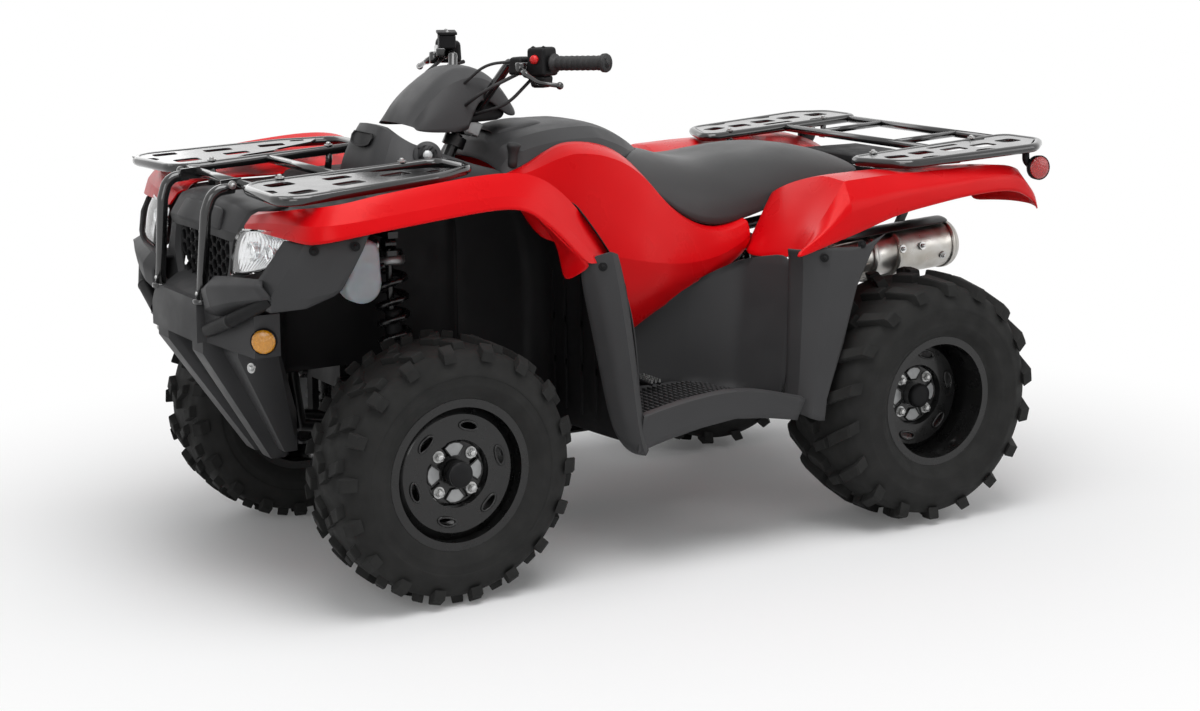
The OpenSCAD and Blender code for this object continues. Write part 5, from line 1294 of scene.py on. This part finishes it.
# Stainless steel: satin, in two close warm greys where heat has tinted it
stainless, tree, shader = new_material("heat_tinted_stainless", "#B3ACA3", 0.34, 1.0)
clouds = add(tree, "ShaderNodeTexNoise", {"Vector": surface_point(tree, 90), "Scale": 1.0, "Detail": 6.0,
                                          "Distortion": 0.6})
ramp = add(tree, "ShaderNodeValToRGB", {"Fac": clouds.outputs["Fac"]})
ramp.color_ramp.elements[0].position, ramp.color_ramp.elements[1].position = 0.35, 0.68
ramp.color_ramp.elements[0].color, ramp.color_ramp.elements[1].color = linear("#C4C3C0"), linear("#A9A49C")
tree.links.new(ramp.outputs["Color"], shader.inputs["Base Color"])
rough_range(tree, shader, 0.26, 0.46, 30)
grain_bump(tree, shader, 2.0, 0.05)

muffler_shape = [
    # x, z and radius, from the inlet to the outlet
    (-0.5, 0.5912, 0.024), (-0.506, 0.592, 0.05), (-0.516, 0.5926, 0.056), (-0.64, 0.605, 0.056),
    (-0.648, 0.6055, 0.0565), (-0.655, 0.606, 0.0565), (-0.66, 0.6065, 0.053), (-0.72, 0.6105, 0.053),
    (-0.725, 0.611, 0.0575), (-0.731, 0.6115, 0.0625), (-0.736, 0.6117, 0.059), (-0.9, 0.621, 0.059),
    (-0.916, 0.6222, 0.0605), (-0.924, 0.6226, 0.056), (-0.927, 0.6228, 0.03), (-0.945, 0.624, 0.028),
    (-0.947, 0.624, 0.02),
]
muffler_y = 0.215
shell = swept([(x, muffler_y, z) for x, z, _ in muffler_shape], [radius for _, _, radius in muffler_shape], 48)
pipe_route = [(0.229, 0.060, 0.600), (0.275, 0.060, 0.600), (0.290, 0.117, 0.570), (0.220, 0.117, 0.522),
              (0.160, 0.146, 0.522), (-0.283, 0.146, 0.530), (-0.515, muffler_y, 0.592)]
head_pipe = swept(filleted(pipe_route, 0.045), 0.0155, 20)
bands = []
for x in (-0.655, -0.730, -0.905):
    z = float(np.interp(-x, [-p[0] for p in muffler_shape], [p[1] for p in muffler_shape]))
    bands.append(swept([(x + step, muffler_y, z) for step in (0.007, 0.006, -0.006, -0.007)],
                       [0.059, 0.0625, 0.0625, 0.059], 48))
flutes = [swept([(x, muffler_y + 0.0562 * math.cos(a), z + 0.0562 * math.sin(a)) for x, z in
                 ((-0.53, 0.595), (-0.635, 0.604))], 0.0022, 8) for a in np.linspace(-0.9, 1.5, 7)]
on("chassis", mesh_object("muffler_and_pipe", *joined([shell, head_pipe] + bands + flutes), stainless), "exhaust")
shade_rows = [[(x, muffler_y + 0.072 * math.cos(a), z + 0.072 * math.sin(a)) for a in np.linspace(1.0, 2.6, 7)]
              for x, z in ((-0.560, 0.598), (-0.64, 0.604), (-0.76, 0.612), (-0.86, 0.618), (-0.905, 0.620))]
on("chassis", panel("muffler_shield", shade_rows, powder_coat, (-0.7, muffler_y, 0.60), 0.0015, mirror=False))
bolts("muffler_bolts", [((-0.80, muffler_y + 0.0600, 0.630), (0, 1, 0.2)),
                        ((-0.87, muffler_y + 0.0580, 0.600), (0, 1, -0.3)),
                        ((-0.735, muffler_y + 0.062, 0.628), (0, 1, 0.2))], zinc, "chassis", 0.006, 0.005, 0.010)

# cooling fins round the cylinder, and bolted covers on the crankcase
low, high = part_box("engine")
fins = [((low.x + high.x) / 2 + 0.045, 0, 0.535 + k * 0.014) for k in range(7)]
grown("cylinder_fins", rib_tree, (fins, []), cast_alloy, "chassis", Size=(0.215, 0.215, 0.004))
covers = []
for s in (1, -1):
    for x, z, radius in ((0.04, 0.37, 0.090), (-0.10, 0.36, 0.070)):
        covers.append(swept([(x, s * y, z) for y in (0.120, 0.131, 0.137, 0.139)],
                            [radius, radius, radius - 0.006, radius - 0.030], 40))
on("chassis", mesh_object("crankcase_covers", *joined(covers), cast_alloy))
bolts("crankcase_bolts", [((x + r * math.cos(a), s * 0.131, z + r * math.sin(a)), (0, s, 0)) for s in (1, -1)
      for x, z, r in ((0.04, 0.37, 0.084), (-0.10, 0.36, 0.064)) for a in np.linspace(0, 2 * math.pi, 9)[:-1]],
      zinc, "chassis", 0.004, 0.004, 0.006)

# ---- The handlebar's fittings ----
# Rubber grips with rings, a switch box with its buttons on the left, a brake
# reservoir on the right, levers, and the clamp that holds the bar.

# Grip rubber: soft, matt and dark, with moulded rings
grip_rubber = surfaced("moulded_grip_rubber", "#1D1D1E", 0.7, ("#19191A", "#242425", 25), (0.6, 0.78, 20),
                       (1.4, 0.12, "ShaderNodeTexVoronoi"))

parts = []
for s in (1, -1):
    inner, outer = Vector((0.258, s * 0.245, 1.124)), Vector((0.201, s * 0.376, 1.131))
    # distance from the inner end and radius there: a flange, eight rings and the end's bead
    shape = [(0.0, 0.019), (0.003, 0.0215), (0.007, 0.0215), (0.009, 0.0165)]
    for k in range(8):
        shape += [(0.014 + k * 0.0145 + step, radius) for step, radius in
                  ((0, 0.0158), (0.0015, 0.0152), (0.003, 0.0158), (0.0075, 0.0166), (0.0125, 0.0160))]
    shape += [(0.133, 0.0165), (0.135, 0.0205), (0.142, 0.0210), (0.146, 0.0190), (0.147, 0.0120), (0.1455, 0.008)]
    path = on_line(inner, (outer - inner).normalized(), *(at for at, _ in shape))
    parts.append(swept(path, [radius for _, radius in shape], 28))
on("steering", mesh_object("rubber_grips", *joined(parts), grip_rubber), "grips")


def rounded_block(name, centre, size, axes, material, radius=0.004, taper=1.0, body="steering"):
    """A moulded block with rounded edges, its sides along three axes; taper narrows its top."""
    centre = Vector(centre)
    u, v, w = (Vector(a).normalized() for a in axes)
    points = []
    for c in (-0.5, 0.5):
        k = taper if c > 0 else 1.0
        for a, b in ((-0.5, -0.5), (0.5, -0.5), (0.5, 0.5), (-0.5, 0.5)):
            points.append(centre + u * size[0] * a * k + v * size[1] * b * k + w * size[2] * c)
    faces = [(0, 3, 2, 1), (4, 5, 6, 7), (0, 1, 5, 4), (1, 2, 6, 5), (2, 3, 7, 6), (3, 0, 4, 7)]
    piece = mesh_object(name, points, faces, material)
    rounding = piece.modifiers.new("rounded_edges", "BEVEL")
    rounding.width = radius
    rounding.segments = 3
    rounding.harden_normals = True
    return on(body, piece)


left_along = Vector((-0.057, 0.131, 0.007)).normalized()
left_out = left_along.cross(Vector((0, 0, 1))).normalized()
left_up = left_out.cross(left_along).normalized()
left_axes = (left_along, left_out, left_up)
left_in = Vector((0.258, 0.245, 1.124))
box_at = left_in - left_along * 0.030
switch_box = rounded_block("left_switch_box", box_at + left_up * 0.004, (0.052, 0.056, 0.064), left_axes,
                           black_plastic, 0.008, 0.92)
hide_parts("bar_controls")
rounded_block("left_switch_foot", box_at - left_up * 0.040 + left_out * 0.006, (0.044, 0.040, 0.026),
              (left_along, left_out, -left_up), black_plastic, 0.007, 0.85)
rounded_block("thumb_lever_pod", box_at - left_along * 0.052 + left_out * 0.012 - left_up * 0.004,
              (0.040, 0.048, 0.040), left_axes, black_plastic, 0.008, 0.85)

# Switch plastic: moulded nylon, red through, satin
red_nylon = surfaced("red_nylon_switch", "#D81E1E", 0.38, ("#C81818", "#E02424", 8), (0.3, 0.46, 6), (1.0, 0.04))
button = box_at + left_up * 0.010
parts = [swept(on_line(button, left_out, 0.024, 0.030, 0.035, 0.036), [0.010, 0.010, 0.0085, 0.004], 20),
         swept(on_line(button, left_out, -0.024, -0.031, -0.034), [0.0095, 0.0095, 0.006], 20)]
on("steering", mesh_object("engine_stop_button", *joined(parts), red_nylon))
rocker = [swept(on_line(box_at + left_along * a - left_up * 0.014, left_out, -0.022, -0.031, -0.033),
                [0.006, 0.006, 0.004], 14) for a in (-0.012, 0.010)]
on("steering", mesh_object("switch_buttons", *joined(rocker), grip_rubber))

# levers: forged aluminium painted black, each with a ball at its end
parts = []
ball_r = 0.0085
for s in (1, -1):
    route = filleted([(x, s * y, z) for x, y, z in ((0.318, 0.205, 1.112), (0.322, 0.240, 1.100),
                                                    (0.318, 0.285, 1.086), (0.292, 0.330, 1.082))], 0.04, 8)
    widths = [0.0085 - 0.0035 * math.sin(math.pi * min(1, i / len(route) * 1.3) / 2) for i in range(len(route))]
    parts.append(swept(route, widths, 12))
    half_turn = np.linspace(0, math.pi, 9)
    ball = [route[-1] + (route[-1] - route[-2]).normalized() * ball_r * math.cos(math.pi - t) for t in half_turn]
    parts.append(swept(ball, [max(0.0005, ball_r * math.sin(t)) for t in half_turn], 14))
    pivot = [(0.318, s * 0.205, z) for z in (1.098, 1.100, 1.124, 1.126)]
    parts.append(swept(pivot, [0.010, 0.012, 0.012, 0.009], 16))
    parts.append(swept([(0.285, s * 0.195, 1.118), (0.318, s * 0.205, 1.114)], 0.009, 12))
on("steering", mesh_object("brake_levers", *joined(parts), tube_paint))

right_in = Vector((0.258, -0.245, 1.124))
right_along = Vector((-0.057, -0.131, 0.007)).normalized()
right_out = right_along.cross(Vector((0, 0, -1))).normalized()
right_axes = (right_along, right_out, Vector((0, 0, 1)))
at = right_in - right_along * 0.060
rounded_block("brake_reservoir", at + Vector((0.010, 0, 0.030)), (0.052, 0.040, 0.034), right_axes,
              black_plastic, 0.005)
rounded_block("brake_reservoir_lid", at + Vector((0.010, 0, 0.0495)), (0.058, 0.046, 0.007), right_axes,
              black_plastic, 0.002)
rounded_block("throttle_housing", right_in - right_along * 0.022, (0.036, 0.058, 0.052), right_axes,
              black_plastic, 0.010, 0.9)
rounded_block("master_cylinder", at + right_out * 0.022 + Vector((0.004, 0, 0.006)), (0.066, 0.022, 0.022),
              right_axes, tube_paint, 0.004)
thumb = filleted([right_in - right_along * 0.02 - Vector((0, 0, 0.020)), right_in + Vector((-0.02, -0.01, -0.034)),
                  right_in + Vector((-0.052, -0.020, -0.030))], 0.02)
widths = [0.0075 - 0.003 * i / len(thumb) for i in range(len(thumb))]
on("steering", mesh_object("throttle_lever", *swept(thumb, widths, 12), black_plastic))
bolts("reservoir_screws", [(at + Vector((0.010, 0, 0.0535)) + right_along * a, (0, 0, 1)) for a in (-0.022, 0.022)],
      zinc, "steering", 0.003, 0.002, 0.004)
bolts("switch_box_screws", [(box_at + left_up * 0.036 + left_along * a + left_out * 0.012, tuple(left_up))
                            for a in (-0.014, 0.014)],
      black_plastic, "steering", 0.003, 0.002, 0.005)

# the clamp on the column's top, cast in two halves
clamp = Vector((0.348, 0, 0.968))
clamp_axes = ((0.906, 0, 0.423), (0, 1, 0), (-0.423, 0, 0.906))  # square to the column
for s in (1, -1):
    rounded_block("handlebar_clamp_" + side_names[s], clamp + Vector((0.006, s * 0.036, 0.002)),
                  (0.046, 0.026, 0.034), clamp_axes, cast_alloy, 0.005)

# cables and wires: short fixed runs from the controls down behind the cover
runs = [swept(filleted(route, 0.09, 14), radius, 10) for *route, radius in [
    ((0.300, 0.190, 1.106), (0.385, 0.150, 1.060), (0.410, 0.075, 1.010), 0.0042),
    ((0.290, 0.175, 1.128), (0.360, 0.120, 1.118), (0.405, 0.070, 1.060), 0.0035),
    ((0.275, 0.195, 1.095), (0.330, 0.165, 1.030), (0.380, 0.080, 1.000), 0.0038),
    ((0.300, -0.190, 1.112), (0.385, -0.150, 1.070), (0.410, -0.075, 1.015), 0.0042),
    ((0.262, -0.215, 1.110), (0.340, -0.160, 1.040), (0.385, -0.080, 1.005), 0.0036),
]]
on("steering", mesh_object("control_cables", *joined(runs), grip_rubber))

# ---- The gear lever, the socket in the cowl and the pedals ----
# A rubber knob on a steel lever beside the tank; a round plug in a raised
# ring on the cowl's left side; and a toothed foot pedal in each well.

stick = [swept([(0.316, 0.160, 0.862), (0.316, 0.160, 0.905)], 0.0055, 12)]
knob = [(0.888, 0.0085), (0.890, 0.0115), (0.902, 0.0110), (0.916, 0.0105), (0.928, 0.0135), (0.936, 0.0165),
        (0.940, 0.0160), (0.943, 0.0100)]
stick.append(swept([(0.316 - (z - 0.888) * 0.06, 0.160 + (z - 0.888) * 0.04, z) for z, _ in knob],
                   [r for _, r in knob], 20))
on("chassis", mesh_object("gear_lever_and_knob", *joined(stick), grip_rubber), "gear_lever")
rounded_block("gear_gate", (0.318, 0.160, 0.864), (0.034, 0.044, 0.012), Matrix.Identity(3), black_plastic, 0.003,
              body="chassis")

eye = Vector((0.520, 0.140, 0.925))
way = Vector((0.35, 0.90, 0.30)).normalized()
ring_path = on_line(eye, way, -0.020, 0.004, 0.007, 0.007, 0.002)
on("chassis", mesh_object("socket_ring", *swept(ring_path, [0.034, 0.0315, 0.029, 0.0225, 0.022], 36), grey_plastic))
plug_path = on_line(eye, way, -0.004, 0.005, 0.0065, 0.006, 0.009, 0.009)
on("chassis", mesh_object("socket_plug", *swept(plug_path, [0.0220, 0.0215, 0.0180, 0.0110, 0.0095, 0.003], 28),
                          cast_alloy))

parts = []
for s in (1, -1):
    for x in (0.030, 0.052):
        parts.append(swept([(x, s * 0.262, 0.388), (x, s * 0.335, 0.388)], 0.0045, 8))
    teeth = [(x, s * y, 0.394) for x in (0.030, 0.041, 0.052) for y in np.arange(0.268, 0.334, 0.011)]
    grown("pedal_teeth_" + side_names[s], rib_tree, (teeth, []), zinc, "chassis", Size=(0.004, 0.005, 0.008))
    parts.append(swept(filleted([(0.041, s * 0.300, 0.384), (0.06, s * 0.262, 0.376), (0.085, s * 0.236, 0.372)],
                                0.02), 0.006, 10))
on("chassis", mesh_object("foot_pedals", *joined(parts), black_plastic))

# ---- Hub caps, windows and brake discs ----
# A plastic cap closes each hub between its four bright windows, the windows
# in the rim have rolled lips, and a steel disc stands behind each front hub.

for corner, end, centre, side, body, nodes in wheels:
    hub_y, _, cap_y = hub_planes[end]
    base = Vector((centre[0], side * (cap_y - 0.012), centre[2]))
    cap = swept(on_line(base, (0, side, 0), 0, 0.010, 0.015, 0.017), [0.0295, 0.0290, 0.0240, 0.0120], 36)
    on(body, mesh_object(corner + "_hub_cap", *cap, black_plastic))
    windows, lips = [], []
    for k in range(4):
        middle = math.radians(90 * k)
        ring = [(0.037, -0.26), (0.060, -0.40), (0.066, -0.20), (0.067, 0), (0.066, 0.20), (0.060, 0.40),
                (0.037, 0.26)]
        flat = [(centre[0] + r * math.cos(middle + a), side * (hub_y + 0.0008), centre[2] + r * math.sin(middle + a))
                for r, a in ring]
        deep = [(x, y - side * 0.001, z) for x, y, z in flat]
        n = len(flat)
        windows.append((flat + deep, [tuple(range(n)), tuple(reversed(range(n, 2 * n)))] + walls(n)))
        lips.append(swept([(x, y + side * 0.0006, z) for x, y, z in flat], 0.0022, 6, closed=True))
    on(body, mesh_object(corner + "_hub_windows", *joined(windows), cast_alloy, smooth=False))
    # oval windows in the rim's disc, midway between its hub and its well
    well_r = tyre_sizes[end][2] - 0.014
    window_r = ((well_r - 0.022) + 0.074) / 2 + 0.004
    face_y = hub_y + 0.0145
    for k in range(6):
        middle = math.radians(60 * k + 15)
        lip = []
        for t in full_circle:
            r, a = window_r + 0.0095 * math.cos(t), middle + 0.022 * math.sin(t) / window_r
            lip.append((centre[0] + r * math.cos(a), side * face_y, centre[2] - r * math.sin(a)))
        lips.append(swept(lip, 0.0028, 6, closed=True))
    on(body, mesh_object(corner + "_window_lips", *joined(lips), rim_enamel))
    if end == "front":
        disc = [(-0.003, 0.030), (-0.003, 0.118), (0.003, 0.118), (0.003, 0.030)]
        on(body, mesh_object(corner + "_alloy_disc", *turned(disc, (centre[0], side * 0.418, centre[2]), 64), zinc))
